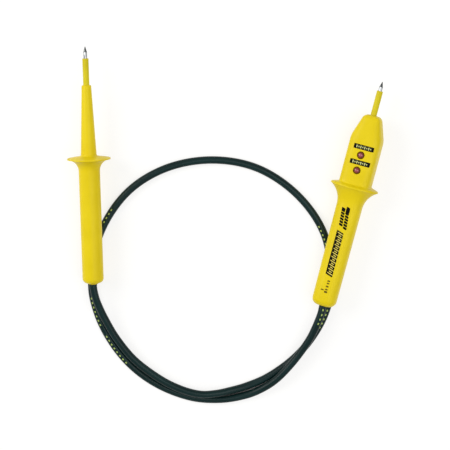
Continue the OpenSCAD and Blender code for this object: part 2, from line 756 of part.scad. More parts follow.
// Part that lies along the board with a bent lead at each end: side is 1 on top and -1 underneath
module axial_part(x, y, d, l, side) {
    near = side > 0 ? board_top : board_low;
    z = near + side * (part_gap + d / 2);
    far = near - side * (board_t + part_lead_out);
    reach = l / 2 + bend_l;
    translate([x, 0, z]) {
        along(y - l / 2, y + l / 2, d / 2);
        along(y - reach, y + reach, lead_d / 2);
    }
    for (end = [-1, 1]) {
        upright(x, y + end * reach, z, far, lead_d / 2);
        translate([x, y + end * reach, z]) sphere(r = lead_d / 2);
    }
}

module resistor_1() {
    color(resistor_blue) indicator_place() axial_part(resistor_x, resistor_y, resistor_d, resistor_l, 1);
}

module resistor_2() {
    color(resistor_blue) indicator_place() axial_part(-resistor_x, resistor_y, resistor_d, resistor_l, 1);
}

module diode_1() {
    color(part_black) indicator_place() axial_part(diode_x, diode_y, diode_d, diode_l, -1);
}

module diode_2() {
    color(part_black) indicator_place() axial_part(-diode_x, diode_y, diode_d, diode_l, -1);
}

// Insulated core from the cord to the board, with its bare end bent up through a hole
module indicator_core() {
    bend_y = core_end_y + bend_l;
    color(core_brown) indicator_place() {
        along(-neck_out, core_end_y, core_d / 2);
        along(core_end_y - cut, bend_y, conductor_d / 2);
        translate([0, bend_y, 0]) sphere(r = conductor_d / 2);
        upright(0, bend_y, 0, board_top + conductor_out, conductor_d / 2);
    }
}

module indicator_cord_bush() {
    color(cord_black) indicator_place() difference() {
        union() {
            along(-neck_out, base_wall, neck_d / 2);
            along(base_wall, bush_end_y, bush_d / 2);
        }
        along(-neck_out - cut, bush_end_y + cut, core_d / 2 + fit_gap);
    }
}

// Smooth curve through four points of the route, at t between the middle two
function curve(a, b, c, d, t) = b + 0.5 * t * (c - a + t * (2 * a - 5 * b + 4 * c - d
    + t * (3 * (b - c) + d - a)));

// The route with extra points between its own, so that it bends in short steps and stays on the table
function resampled(p, steps) = let (n = len(p), q = concat([2 * p[0] - p[1]], p, [2 * p[n - 1] - p[n - 2]]),
    smooth = concat([for (i = [1:n - 1], j = [0:steps - 1])
        curve(q[i - 1], q[i], q[i + 1], q[i + 2], j / steps)], [p[n - 1]]))
    [for (s = smooth) [s.x, s.y, max(s.z, cord_d / 2)]];

function unit(v) = v / norm(v);

// Ring of points round p, square to the direction d
function tube_ring(p, d, r, sides) = let (side = unit(cross(d, [0, 0, 1])), up = cross(side, d))
    [for (j = [0:sides - 1]) let (a = 360 * j / sides - 90) p + r * (cos(a) * side + sin(a) * up)];

module cord() {
    path = resampled(route, cord_steps);
    last = len(path) - 1;
    rings = [for (i = [0:last])
        let (d = i == 0 ? -plain_axis : i == last ? indicator_axis : unit(path[i + 1] - path[i - 1]))
        tube_ring(path[i], d, cord_d / 2, cord_sides)];
    color(cord_black) rings_solid(rings);
}

plain_barrel();
plain_sleeve();
plain_tip();
plain_resistor();
plain_splice();
plain_core();
plain_cord_bush();
front_shell();
rear_shell();
indicator_sleeve();
indicator_tip();
tip_clip();
circuit_board();
upper_led();
lower_led();
led_leads();
resistor_1();
resistor_2();
diode_1();
diode_2();
indicator_core();
indicator_cord_bush();
cord();
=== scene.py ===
# Looks of a two-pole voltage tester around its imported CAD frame. Lengths are metres and angles are radians
# unless a name says otherwise. Each probe is drawn in its own frame, as in the CAD: X across its face,
# Y from the handle's base to the tip, and Z out of its face.
import bisect
import json
import math

import bmesh
import bpy
from mathutils import Matrix, Vector


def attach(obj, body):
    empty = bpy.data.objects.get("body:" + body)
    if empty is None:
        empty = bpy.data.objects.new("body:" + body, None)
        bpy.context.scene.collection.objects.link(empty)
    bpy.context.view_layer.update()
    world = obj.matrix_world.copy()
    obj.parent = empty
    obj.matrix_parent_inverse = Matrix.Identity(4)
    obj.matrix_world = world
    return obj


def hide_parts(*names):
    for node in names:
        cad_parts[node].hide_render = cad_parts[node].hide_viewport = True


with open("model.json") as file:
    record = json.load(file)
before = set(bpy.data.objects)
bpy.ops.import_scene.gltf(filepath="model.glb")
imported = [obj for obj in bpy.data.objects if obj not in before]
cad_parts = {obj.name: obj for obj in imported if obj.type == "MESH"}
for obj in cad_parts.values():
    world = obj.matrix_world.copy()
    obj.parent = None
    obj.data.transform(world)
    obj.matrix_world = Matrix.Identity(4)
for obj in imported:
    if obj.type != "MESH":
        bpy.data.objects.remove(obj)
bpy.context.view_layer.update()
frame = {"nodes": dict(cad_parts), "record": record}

# Camera, light and floor
VIEW_CENTRE = (-0.00038, -0.03323, 0.013)
VIEW_TILT = math.radians(7.5)  # of the camera from straight above, towards the tips
SENSOR_W = 36.0  # millimetres, as Blender takes it
VIEW_W = 0.315  # width of the picture at the probes' height
VIEW_DISTANCE = 1.2  # from the camera to that height
STUDIO_LIGHTS = [("key", (-1.5, 0.7, 1.3), (0, -0.03, 0), 1.3, 22.0),
                 ("fill", (0.8, -0.3, 0.6), (0.05, -0.03, 0), 0.6, 0.6),
                 ("top", (0.5, 0.0, 1.5), (0, -0.03, 0), 1.2, 7.5)]  # name, place, aim, width, watts
SURROUND_LIGHT = 0.45  # strength of the white surroundings
FLOOR_SIZE = 6.0
FLOOR_GLOW = 0.74  # strength of the floor's own light in the open
# Where ambient occlusion finds the floor closed, its own light is cut, which paints shade in narrow gaps.
CLOSED, OPEN = 0.2, 0.45  # openness of the floor where that light is gone, and from where it is full

# Plain probe
PLAIN_HANDLE_R = 0.0074
PLAIN_HANDLE_L = 0.0874
PLAIN_BASE_ROUND = 0.0033
PLAIN_GUARD_R = 0.0151
PLAIN_FLARE_L = 0.0082
PLAIN_FLARE_TURN = math.radians(86)
PLAIN_GUARD_RISE = 0.0013
PLAIN_RIM_END_DEG = 75  # where the guard's round edge turns into its front
PLAIN_ROOT_R = 0.00545
PLAIN_ROOT_FILLET = 0.0016
PLAIN_ROOT_START_DEG = -100
PLAIN_NOSE_END_R = 0.00335
PLAIN_END_ROUND = 0.0008
PLAIN_END_START_DEG = 5
PLAIN_NOSE_L = 0.0494
PLAIN_BORE_R = 0.0038
NOSE_BORE_R = 0.0026
BORE_TAPER_L = 0.012
GUARD_EDGE = 0.0008

# Indicator probe
HANDLE_BASE_W = 0.017
HANDLE_W = 0.018
HANDLE_H = 0.016
HANDLE_L = 0.0861
BASE_ROUND = 0.0046
HANDLE_SQUARE = 2.7
GUARD_W = 0.0339
GUARD_H = 0.027
GUARD_SQUARE = 2.3
FLARE_L = 0.0135
FLARE_TURN = math.radians(62)
GUARD_FRONT_L = 0.0028
FRONT_SLOPE = [(0, 0.06), (0.2, 0.3), (0.55, 0.72), (0.8, 0.93), (1, 1)]  # shares forward and inward
FRONT_TURNS = (-0.12, 0), (1.2, 1)  # knots before and after it, which only turn the curve's ends
BODY_W = 0.0223
BODY_H = 0.0208
BODY_L = 0.0356
BODY_SQUARE = 4.2
SHOULDER_ROUND = 0.0026
NOSE_L = 0.0161
NOSE_END_W = 0.0117
NOSE_END_H = 0.0144
NOSE_SQUARE = 3.8
NOSE_ROUND = 0.0028

# Shells
SHELL_WALL = 0.0021
BASE_WALL = 0.003
NOSE_WALL = 0.0045
RIB_T = 0.0014
TONGUE_T = 0.0009
TONGUE_H = 0.001
PEG_R = 0.00115
PEG_L = 0.004
SOCKET_ROOM = 0.0005
BOSS_R = 0.002
HANDLE_PEG_X = 0.0042
PEG_FROM_RIB = 0.020
PEG_FROM_FLARE = 0.008
NOSE_PEG_X = 0.0052
NOSE_PEG_Y = 0.0055
POST_R = 0.0012
POST_MARGIN = 0.0002
REAR_POST_Y = 0.0026
FRONT_POST_Y = 0.0036
FIT_GAP = 0.0001
CORE_ROOM = 0.001
ROOT = 0.0005  # how far a rib, boss, post or tongue is rooted in the wall
CUT = 0.0005  # how far a cut runs past what it cuts
GROOVE_INWARD = 0.00002  # the groove's cut passes the wall's inner face by this
WELD = 0.0000005  # points closer than this become one
SEAM = 0.00012  # bevel of each shell along the parting line
HOLE_BEVEL = 0.00025  # bevel round each lamp hole

# Tips and sleeves
TIP_R = 0.0013
PLAIN_TIP_L = 0.0083
INDICATOR_TIP_L = 0.0067
TIP_CONE_L = 0.004
POINT_R = 0.00015
STEM_R = 0.0011
COLLAR_R = 0.0024
COLLAR_L = 0.0016
CUP_R = 0.0018
CUP_L = 0.006
CUP_BORE_R = 0.00045
CUP_BORE_L = 0.004
TAIL_R = 0.0013
SLEEVE_R = 0.00215
SLEEVE_BEVEL = 0.00035
PLAIN_SLEEVE_L = 0.0184
INDICATOR_SLEEVE_L = 0.0175
SLEEVE_SEAT_L = 0.008

# Cord and bushes
CORD_D = 0.0053
CORE_R = 0.00095
LIP_R = 0.0035
LIP_H = 0.0007
LIP_ROUND = 0.0002
PLUG_L = 0.012
NECK_R = 0.003
NECK_OUT = 0.0003
BUSH_R = 0.005
BUSH_L = 0.006

# Lamps and board
LENS_R = 0.0025
DOME_END_DEG = 84  # where the dome's round ends beside its middle
LAMP_RIM_R = 0.0029
LAMP_RIM_H = 0.001
LAMP_PROUD = 0.0012
LAMP_FROM_GUARD = 0.0127
LAMP_PITCH = 0.0108
BOARD_SIDE_GAP = 0.00145
BOARD_T = 0.0016
BOARD_LIFT = 0.0014
BOARD_FROM_GUARD = 0.0062
BOARD_PAST_SHOULDER = 0.0015
CLIP_L = 0.004
CLIP_FROM_END = 0.002
TAIL_PAST_CLIP = 0.001

# Inner components
SAFETY_L = 0.011
SAFETY_LEAD = 0.0025
RESISTOR_R = 0.0016
RESISTOR_L = 0.009
RESISTOR_ROOM = 0.0008
DIODE_R = 0.00135
DIODE_L = 0.0052
DIODE_FROM_SIDE = 0.00335
DIODE_FROM_END = 0.0075
PART_GAP = 0.0003
CORE_ON_BOARD = 0.0008
RING_HALF = 0.08  # half width of a colour ring, as a share of a component's half length

# Print on the indicator probe: a dark plate over each lamp with a row of ticks, and marks down the handle
PLATE_X = 0.00075
PLATE_W = 0.0143
PLATE_H = 0.0033
PLATE_FROM_LAMP = 0.0056
PLATE_ROUND = 0.02
TICK_COUNT = 8
TICK_PITCH = 0.0014
TICK_W = 0.00075
TICK_L = 0.002
SHORT_TICK = 0.5  # share of a full tick
BLOCK_X = -0.00035
BLOCK_W = 0.0051
BLOCK_Y0 = 0.0226
BLOCK_Y1 = 0.0545
BLOCK_ROUND = 0.01
BLOCK_BARS = 21
BLOCK_BAR_W = 0.0042
BLOCK_BAR_L = 0.00065
BLOCK_BAR_X = 0.0001
PRINT_SLANT = -0.31  # of each mark's ends across the handle
ROW_LEAN = 0.08  # of the two rows along the handle
ROW_W = 0.0027
ROW_BAR_L = 0.0016
ROW_PITCH = 0.002
ROWS = [(-0.00235, 0.0713, 0.0028, 5), (0.00075, 0.0723, 0.0056, 5)]  # X, top, length of the head, bars
FOOT_MARKS = [(0.0007, 0.0188, 0.0020, 0.0010), (0.00065, 0.0170, 0.0018, 0.0010),
              (0.0006, 0.0148, 0.0019, 0.0012), (0.00055, 0.0126, 0.0019, 0.0010),
              (0.0005, 0.0108, 0.0023, 0.0014), (-0.0023, 0.0119, 0.0022, 0.0008)]  # X, Y, width, length
FILM = (0.00001, 0.00004)  # inner and outer height of a printed film over what it is on
OVER_FILM = (0.00005, 0.00008)
MARK_ROUND = 0.15  # rounding of a mark's corners, from 0, square, to 0.5, an ellipse

# Marks printed along the cord: distance of the first from the plain probe, how many, and turn from the top
CORD_MARKS = [(0.2208, 5, math.radians(10)), (0.2828, 5, math.radians(-29)), (0.4722, 4, math.radians(18)),
              (0.5378, 7, math.radians(22)), (0.5672, 8, math.radians(17)), (0.7607, 4, math.radians(12))]
CORD_MARK_PITCH = 0.0033
CORD_MARK_L = 0.0014
CORD_MARK_W = 0.0010

# Resting pose: the roll of the indicator probe, and straight lengths of cord at its two exits
INDICATOR_ROLL = math.radians(-14)
PLAIN_LEAD = 0.0035
INDICATOR_LEAD = 0.008

# The cord's route between the two bushes: X, Y, and how many cord diameters it is lifted off the table
CORD_POINTS = [
    (-0.0915, -0.0852, 1.76), (-0.0892, -0.092, 1.46), (-0.085, -0.1015, 1.1), (-0.0772, -0.1155, 0.78),
    (-0.0647, -0.131, 0.7), (-0.0471, -0.1444, 0.76), (-0.0319, -0.152, 0.87), (-0.0182, -0.1556, 0.91),
    (-0.0066, -0.1553, 0.72), (0.0041, -0.1535, 0.3), (0.0152, -0.1506, 0.02), (0.0304, -0.1439, 0),
    (0.0475, -0.1315, 0), (0.0615, -0.1156, 0), (0.0715, -0.0961, 0), (0.0753, -0.0737, 0),
    (0.0696, -0.0407, 0), (0.0509, -0.0135, 0), (0.0229, 0.0055, 0), (-0.0095, 0.0115, 0),
    (-0.0423, 0.0055, 0), (-0.0698, -0.012, 0), (-0.0886, -0.0407, 0), (-0.0949, -0.0742, 0),
    (-0.0911, -0.0976, 0), (-0.0807, -0.1191, 0), (-0.0657, -0.1372, 0), (-0.0466, -0.1506, 0),
    (-0.0243, -0.1589, 0), (-0.0035, -0.1604, 0), (0.0142, -0.1574, 0.03), (0.0263, -0.1521, 0.33),
    (0.0359, -0.1451, 0.79), (0.0445, -0.136, 1.08), (0.0528, -0.1252, 1.37), (0.0605, -0.1128, 1.76)]

# Fineness of the meshes: sides of what is turned, and steps of each curve
CORD_SIDES = 32
CORD_STEPS = 12  # rings for each stretch of the route
ROD_SIDES = 48
LAMP_SIDES = 64
TURNED_SIDES = 96
BARREL_SIDES = 128
BARREL_ROUND_STEPS = 12
BARREL_EDGE_STEPS = 8
BEVEL_STEPS = 6
LIP_STEPS = 5
DOME_STEPS = 16
OUTER_STEPS = 64  # of half the housing's section, outside
CAVITY_STEPS = 28  # and inside
ROUND_STEPS = 14
HANDLE_STEPS = 16
FLARE_STEPS = 36
FRONT_STEPS = 4  # between two knots of the guard's front
BODY_STEPS = 10
NOSE_STEPS = 6
MARK_STEPS = 4  # of a printed mark along each of its sides
PLATE_STEPS = 24  # of a dark plate across the face
BLOCK_STEPS = (12, 16)  # of the dark block across and along the handle
SHARP = math.radians(35)  # edges sharper than this stay crisp
SHELL_SHARP = math.radians(30)

# Colours. A finish that wanders between two tones names the darker one first.
YELLOW = (0.75, 0.575, 0.003), (0.79, 0.61, 0.005)
SLEEVE_YELLOW = (0.62, 0.51, 0.006), (0.68, 0.57, 0.010)
PLATED = (0.36, 0.37, 0.38), (0.50, 0.51, 0.52)
DARK_POINT_STEEL = (0.13, 0.14, 0.14)
# The sheath's darker tone also serves as painted shade down the cord's sides.
SHEATH_BLACK = (0.001, 0.012, 0.0115), (0.006, 0.029, 0.029)
# The lens colours paint light and shade: a lit pink in the middle, darkening towards the rim.
LENS_RED = [(0.0, (0.40, 0.09, 0.11)), (0.4, (0.30, 0.045, 0.06)),  # share of the lens's radius, colour
            (0.66, (0.17, 0.018, 0.010)), (0.84, (0.12, 0.014, 0.004))]
LACQUER_GREEN = (0.015, 0.10, 0.03), (0.03, 0.17, 0.06)
CORE_BROWN = (0.13, 0.045, 0.014), (0.19, 0.07, 0.025)
CORE_COPPER = (0.62, 0.30, 0.16)
COPPER = (0.46, 0.20, 0.10), (0.72, 0.38, 0.22)
TINNED = (0.60, 0.61, 0.62)
RESISTOR_TAN = (0.46, 0.33, 0.18), (0.56, 0.41, 0.24)
RESISTOR_BLUE = (0.03, 0.16, 0.36), (0.05, 0.22, 0.46)
DIODE_BLACK = (0.010, 0.010, 0.010), (0.022, 0.022, 0.022)
BROWN, VIOLET, GOLD, WHITE = (0.10, 0.03, 0.01), (0.14, 0.03, 0.25), (0.55, 0.36, 0.08), (0.7, 0.7, 0.7)
RESISTOR_RINGS = [(-0.6, BROWN), (-0.25, VIOLET), (0.1, BROWN), (0.6, GOLD)]  # share of half length, colour
DIODE_RINGS = [(0.6, WHITE)]
BLACK_INK = (0.004, 0.0035, 0.0015)
PALE_INK = (0.52, 0.54, 0.22)
YELLOW_INK = (0.64, 0.53, 0.10)
FAINT_INK = (0.13, 0.09, 0.008)
CORD_INK = (0.34, 0.44, 0.12)
FLOOR_TONES = (0.29, 0.29, 0.29), (0.31, 0.31, 0.31)
FLOOR_LIGHT = (1.0, 0.995, 0.985, 1)

# Derived places and sizes
PLAIN_ROOT_Y = PLAIN_HANDLE_L + GUARD_EDGE + PLAIN_GUARD_RISE
PLAIN_END_Y = PLAIN_ROOT_Y + PLAIN_NOSE_L
PLAIN_STOP_Y = PLAIN_END_Y - SLEEVE_SEAT_L
PLAIN_SLEEVE_END_Y = PLAIN_END_Y + PLAIN_SLEEVE_L
SLEEVE_HOLE_R = SLEEVE_R + FIT_GAP
RIM_Y = HANDLE_L
FRONT_Y = RIM_Y + GUARD_FRONT_L
SHOULDER_Y = RIM_Y + BODY_L
END_Y = SHOULDER_Y + NOSE_L
SLEEVE_END_Y = END_Y + INDICATOR_SLEEVE_L
CAVITY_END_Y = END_Y - NOSE_WALL
BUSH_END_Y = BASE_WALL + BUSH_L
FRONT_RIB_Y = CAVITY_END_Y - COLLAR_L - RIB_T
BOARD_Y0 = RIM_Y + BOARD_FROM_GUARD
BOARD_Y1 = SHOULDER_Y + BOARD_PAST_SHOULDER
BOARD_W = BODY_W - 2 * (SHELL_WALL + BOARD_SIDE_GAP)
BOARD_TOP = BOARD_LIFT + BOARD_T
LOWER_LAMP_Y = RIM_Y + LAMP_FROM_GUARD
UPPER_LAMP_Y = LOWER_LAMP_Y + LAMP_PITCH


def probe_place(mount_name, pin_middle_y, roll):
    """Matrix of a probe's own frame, found from the pin mount on its tip."""
    mount = next(m for m in frame["record"]["mounts"] if m["name"] == mount_name)
    along = Vector(mount["axis"]).normalized()
    across = along.cross(Vector((0, 0, 1))).normalized()
    place = Matrix((across, along, across.cross(along))).transposed().to_4x4()
    place.translation = Vector(mount["pos_m"]) - along * pin_middle_y
    return place @ Matrix.Rotation(roll, 4, "Y")


PLAIN = probe_place("plain_tip_pin", PLAIN_SLEEVE_END_Y + (PLAIN_TIP_L - TIP_CONE_L) / 2, 0)
INDICATOR = probe_place("indicator_tip_pin", SLEEVE_END_Y + (INDICATOR_TIP_L - TIP_CONE_L) / 2,
                        INDICATOR_ROLL)


# Mesh tools
def linked(name, data):
    """New object in the scene."""
    obj = bpy.data.objects.new(name, data)
    bpy.context.scene.collection.objects.link(obj)
    return obj


def new_object(name, points, faces, place=Matrix.Identity(4), material=None):
    """Mesh object from points in a frame of their own, with its faces turned outward."""
    mesh = bpy.data.meshes.new(name)
    mesh.from_pydata([tuple(place @ Vector(p)) for p in points], [], faces)
    build = bmesh.new()
    build.from_mesh(mesh)
    bmesh.ops.recalc_face_normals(build, faces=build.faces)
    build.to_mesh(mesh)
    build.free()
    obj = linked(name, mesh)
    finish_surface(obj, material)
    return obj


def finish_surface(obj, material, sharp=SHARP):
    """Smooth shading up to an angle, and one material."""
    obj.data.shade_smooth()
    obj.data.set_sharp_from_angle(angle=sharp)
    if material:
        obj.data.materials.clear()
        obj.data.materials.append(material)


def mix(a, b, t):
    """What lies at a share t of the way from a to b."""
    return a + (b - a) * t


def arc(centre, r, start_deg, end_deg, steps):
    """Points of an arc in a flat profile."""
    angles = [math.radians(mix(start_deg, end_deg, i / steps)) for i in range(steps + 1)]
    return [(centre[0] + r * math.cos(a), centre[1] + r * math.sin(a)) for a in angles]


def flare_shares(turn):
    """Flare from a handle to a guard: shares of the way along and outward, step by step."""
    angles = [turn * (i / FLARE_STEPS) for i in range(FLARE_STEPS + 1)]
    return [(math.sin(a) / math.sin(turn), (1 - math.cos(a)) / (1 - math.cos(turn))) for a in angles]


def turned_mesh(profile, sides):
    """Points and faces of a profile of (radius, place along Y) turned about Y."""
    angles = [2 * math.pi * j / sides for j in range(sides)]
    points, rows = [], []
    for r, y in profile:
        if r <= 0:
            rows.append([len(points)] * sides)
            points.append((0, y, 0))
        else:
            rows.append(list(range(len(points), len(points) + sides)))
            points += [(r * math.sin(a), y, r * math.cos(a)) for a in angles]
    first_again = [] if profile[0][0] <= 0 else rows[:1]
    faces = []
    for low, high in zip(rows, rows[1:] + first_again):
        for j in range(sides):
            k = (j + 1) % sides
            corners = list(dict.fromkeys([low[j], low[k], high[k], high[j]]))
            if len(corners) > 2:
                faces.append(corners)
    return points, faces


def make_turned(name, profile, place, material, node, sides=TURNED_SIDES):
    """Piece turned about a probe's axis. A profile that starts off the axis is a closed loop."""
    stand_for(new_object(name, *turned_mesh(profile, sides), place, material), node)


def ring_mesh(rings):
    """Points and faces of a closed solid through rings with the same number of points."""
    n = len(rings[0])
    points = [p for ring in rings for p in ring]
    faces = [(i * n + j, i * n + (j + 1) % n, (i + 1) * n + (j + 1) % n, (i + 1) * n + j)
             for i in range(len(rings) - 1) for j in range(n)]
    faces += [tuple(range(n)), tuple((len(rings) - 1) * n + j for j in range(n))]
    return points, faces


def joined(meshes):
    """Several (points, faces) as one."""
    points, faces = [], []
    for more_points, more_faces in meshes:
        start = len(points)
        points += list(more_points)
        faces += [tuple(start + i for i in face) for face in more_faces]
    return points, faces


def rod_mesh(y0, y1, r):
    """Cylinder along a probe's axis."""
    return turned_mesh([(0, y0), (r, y0), (r, y1), (0, y1)], ROD_SIDES)


def upright_mesh(profile, x, y, sides):
    """Profile of (radius, height) turned about an axis square to a probe's face."""
    points, faces = turned_mesh(profile, sides)
    return [(x + p[0], y - p[2], p[1]) for p in points], faces


def post_mesh(x, y, z0, z1, r):
    """Cylinder square to a probe's face."""
    return upright_mesh([(0, z0), (r, z0), (r, z1), (0, z1)], x, y, ROD_SIDES)


def combine(obj, meshes, operation):
    """Adds, cuts or intersects obj with closed meshes that don't touch each other."""
    tool = new_object("tool", *joined(meshes))
    modifier = obj.modifiers.new("combine", "BOOLEAN")
    modifier.object = tool
    modifier.operation = operation
    modifier.solver = "MANIFOLD"
    bpy.context.view_layer.update()
    old = obj.data
    obj.data = bpy.data.meshes.new_from_object(obj.evaluated_get(bpy.context.evaluated_depsgraph_get()))
    obj.modifiers.clear()
    bpy.data.meshes.remove(old)
    bpy.data.objects.remove(tool)


def clean(obj):
    """Make one point of those closer than WELD, which the cuts leave, and split faces of many sides."""
    build = bmesh.new()
    build.from_mesh(obj.data)
    bmesh.ops.remove_doubles(build, verts=build.verts, dist=WELD)
    bmesh.ops.triangulate(build, faces=[face for face in build.faces if len(face.verts) > 4])
    build.to_mesh(obj.data)
    build.free()


def film_mesh(spot, heights, across=MARK_STEPS, along=MARK_STEPS):
    """Thin closed film: spot(u, v, lift) gives its points, with u and v from -1 to 1."""
    wide, tall = across + 1, along + 1
    grid = [(2 * i / across - 1, 2 * j / along - 1) for j in range(tall) for i in range(wide)]
    inner, outer = ([spot(u, v, lift) for u, v in grid] for lift in heights)
    under = wide * tall
    rim = [*range(wide), *(j * wide + across for j in range(1, tall)),
           *(along * wide + i for i in range(across - 1, -1, -1)),
           *(j * wide for j in range(along - 1, 0, -1))]
    faces = [(a, b, under + b, under + a) for a, b in zip(rim, rim[1:] + rim[:1])]
    for j in range(along):
        for i in range(across):
            a = j * wide + i
            square = (a, a + 1, a + wide + 1, a + wide)
            faces += [square[::-1], tuple(under + k for k in square)]
    return inner + outer, faces


def rounded(u, v, w, l, rounding):
    """Point of a mark w wide and l long, its corners rounded."""
    return u * w / 2 * math.sqrt(1 - rounding * v * v), v * l / 2 * math.sqrt(1 - rounding * u * u)


def printed(name, films, material, place=Matrix.Identity(4)):
    """Print that rides on the tester: films that don't touch each other, as one piece."""
    obj = new_object(name, *joined(films), place, material)
    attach(obj, "root")
    return obj


def stand_for(obj, node):
    """obj rides on the tester and stands for a CAD node, which is hidden."""
    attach(obj, "root")
    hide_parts(node)


# Material tools
class Finish:
    """A node material: its shader and short ways to add the nodes that feed it."""

    def __init__(self, name, place=Matrix.Identity(4), **sockets):
        self.material = bpy.data.materials.new(name)
        self.material.use_nodes = True
        self.nodes = self.material.node_tree.nodes
        self.links = self.material.node_tree.links
        self.shader = self.nodes["Principled BSDF"]
        for socket, value in sockets.items():
            self.shader.inputs[socket.replace("_", " ")].default_value = value
        seen = self.nodes.new("ShaderNodeTexCoord").outputs["Object"]
        self.coordinates = self.add("Mapping", "Vector", Vector=seen, Location=place.translation,
                                    Rotation=place.to_euler())
        self.coordinates.node.vector_type = "TEXTURE"

    def put(self, socket, value):
        """Link a socket to a node's output, or give it a number or a colour of its own."""
        if isinstance(value, bpy.types.NodeSocket):
            self.links.new(value, socket)
        else:
            socket.default_value = value

    def add(self, kind, output, **inputs):
        """Output of a new node."""
        node = self.nodes.new(f"ShaderNode{kind}")
        for name, value in inputs.items():
            self.put(node.inputs[name.replace("_", " ")], value)
        return node.outputs[output]

    def stretched(self, scale):
        """Coordinates times a factor on each axis, so that a low one draws a pattern out."""
        return self.add("Mapping", "Vector", Vector=self.coordinates, Scale=scale)

    def noise(self, scale, detail=3.0, source=None):
        """Noise from 0 to 1, with scale features to the metre."""
        return self.add("TexNoise", "Fac", Vector=source or self.coordinates, Scale=scale, Detail=detail)

    def axis(self, letter):
        """One of the material's own coordinates."""
        return self.add("SeparateXYZ", letter, Vector=self.coordinates)

    def ramp(self, value, stops):
        """Colours between stops of (place, colour)."""
        shade = self.add("ValToRGB", "Color", Fac=value)
        elements = shade.node.color_ramp.elements
        while len(elements) < len(stops):
            elements.new(0.5)
        for element, (place, colour) in zip(elements, stops):
            element.position = place
            element.color = (*colour, 1)
        return shade

    def between(self, value, tones, low=0.3, high=0.7):
        """Colour from the first tone, up to a low value, to the second, from a high one."""
        return self.ramp(value, [(low, tones[0]), (high, tones[1])])

    def span(self, value, low, high, from_low=0.3, from_high=0.7):
        """Value moved from one range to another."""
        return self.add("MapRange", "Result", Value=value, From_Min=from_low, From_Max=from_high,
                        To_Min=low, To_Max=high)

    def blend(self, share, a, b):
        """Colour a where share is 0 and the plain colour b where it is 1."""
        return self.add("MixRGB", "Color", Fac=share, Color1=a, Color2=(*b, 1))

    def math(self, operation, *values):
        """Result of an operation on numbers or nodes' outputs."""
        node = self.nodes.new("ShaderNodeMath")
        node.operation = operation
        for socket, value in zip(node.inputs, values):
            self.put(socket, value)
        return node.outputs["Value"]

    def feed(self, socket, value):
        """Link a node's output to the shader."""
        self.links.new(value, self.shader.inputs[socket])

    def bump(self, height, distance):
        """Relief of a height from 0 to 1 over a distance; later calls add to earlier ones."""
        relief = self.add("Bump", "Normal", Height=height, Distance=distance)
        earlier = self.shader.inputs["Normal"].links
        if earlier:
            self.links.new(earlier[0].from_socket, relief.node.inputs["Normal"])
        self.feed("Normal", relief)


def yellow_plastic(name, tones):
    """Satin moulded plastic: faint clouding, fine spark-eroded texture and a few handling scuffs."""
    f = Finish(name, Specular_IOR_Level=0.18)
    f.feed("Base Color", f.between(f.noise(70, 2), tones, 0.35, 0.65))
    scuff = f.noise(420, 4, f.stretched((1, 0.12, 1)))
    f.feed("Roughness", f.span(scuff, 0.36, 0.48))
    f.bump(f.noise(3200, 2), 0.000012)
    f.bump(f.noise(240, 3), 0.00003)
    return f.material


def bright_metal(place, darker_from_y):
    """Plated steel with fine turning marks round a probe's axis, darker past a place along it."""
    f = Finish("bright_metal", place, Metallic=1.0)
    marks = f.noise(900, 3, f.stretched((0.2, 8, 0.2)))
    # The cone and point take a darker steel colour past a place along the axis.
    darker_part = f.math("GREATER_THAN", f.axis("Y"), darker_from_y)
    f.feed("Base Color", f.blend(darker_part, f.between(marks, PLATED), DARK_POINT_STEEL))
    f.feed("Roughness", f.span(marks, 0.16, 0.30))
    f.bump(marks, 0.000006)
    return f.material


def cord_sheath():
    """Soft black sheath with drawn streaks, paler patches and a faint grain, darker down its sides as
    painted shade.
    """
    f = Finish("cord_sheath", Specular_IOR_Level=0.20)
    f.coordinates = f.nodes["Texture Coordinate"].outputs["UV"]
    streaks = f.noise(1500, 2, f.stretched((0.02, 1, 1)))
    patches = f.noise(260, 2, f.stretched((0.1, 1, 1)))
    # Painted light and shade: the base colour is lighter on the cord's top and darker down its sides.
    up = f.math("SINE", f.math("DIVIDE", f.axis("Y"), CORD_D / 2))
    tone = f.math("ADD", f.math("MULTIPLY", streaks, 0.5), f.math("MULTIPLY", patches, 0.5))
    tone = f.math("ADD", tone, f.span(up, -0.25, 0.0, 0.2, 1.0))
    f.feed("Base Color", f.between(tone, SHEATH_BLACK, 0.35, 0.65))
    grain = f.noise(2500, 2)
    f.feed("Roughness", f.span(grain, 0.30, 0.42))
    f.bump(grain, 0.000015)
    f.bump(streaks, 0.00002)
    return f.material


def red_lens(place):
    """Milky red lamp on a place's own axis, with painted light and shade: pink in the middle, dark at the
    rim.
    """
    f = Finish("red_lens", place, Coat_Weight=0.6, Coat_Roughness=0.05, Roughness=0.18)
    f.shader.subsurface_method = "BURLEY"
    # Painted light and shade: the colour runs from lit pink in the middle to dark at the rim, by distance
    # from the axis.
    square = f.math("ADD", f.math("POWER", f.axis("X"), 2), f.math("POWER", f.axis("Y"), 2))
    radius = f.math("DIVIDE", f.math("SQRT", square), LENS_R)
    painted_shade_radius = f.math("ADD", radius, f.span(f.noise(1400, 2), -0.06, 0.06))
    f.feed("Base Color", f.ramp(painted_shade_radius, LENS_RED))
    f.bump(f.noise(2600, 1), 0.000006)
    return f.material


def ink(name, colour, gloss):
    """Printed ink with slightly uneven cover."""
    f = Finish(name, Specular_IOR_Level=0.06)
    cover = f.noise(2600, 3)
    thin = tuple(c * 1.35 + 0.002 for c in colour)
    f.feed("Base Color", f.between(cover, (colour, thin), 0.35, 0.75))
    f.feed("Roughness", f.span(cover, gloss, gloss + 0.15))
    f.bump(cover, 0.000008)
    return f.material


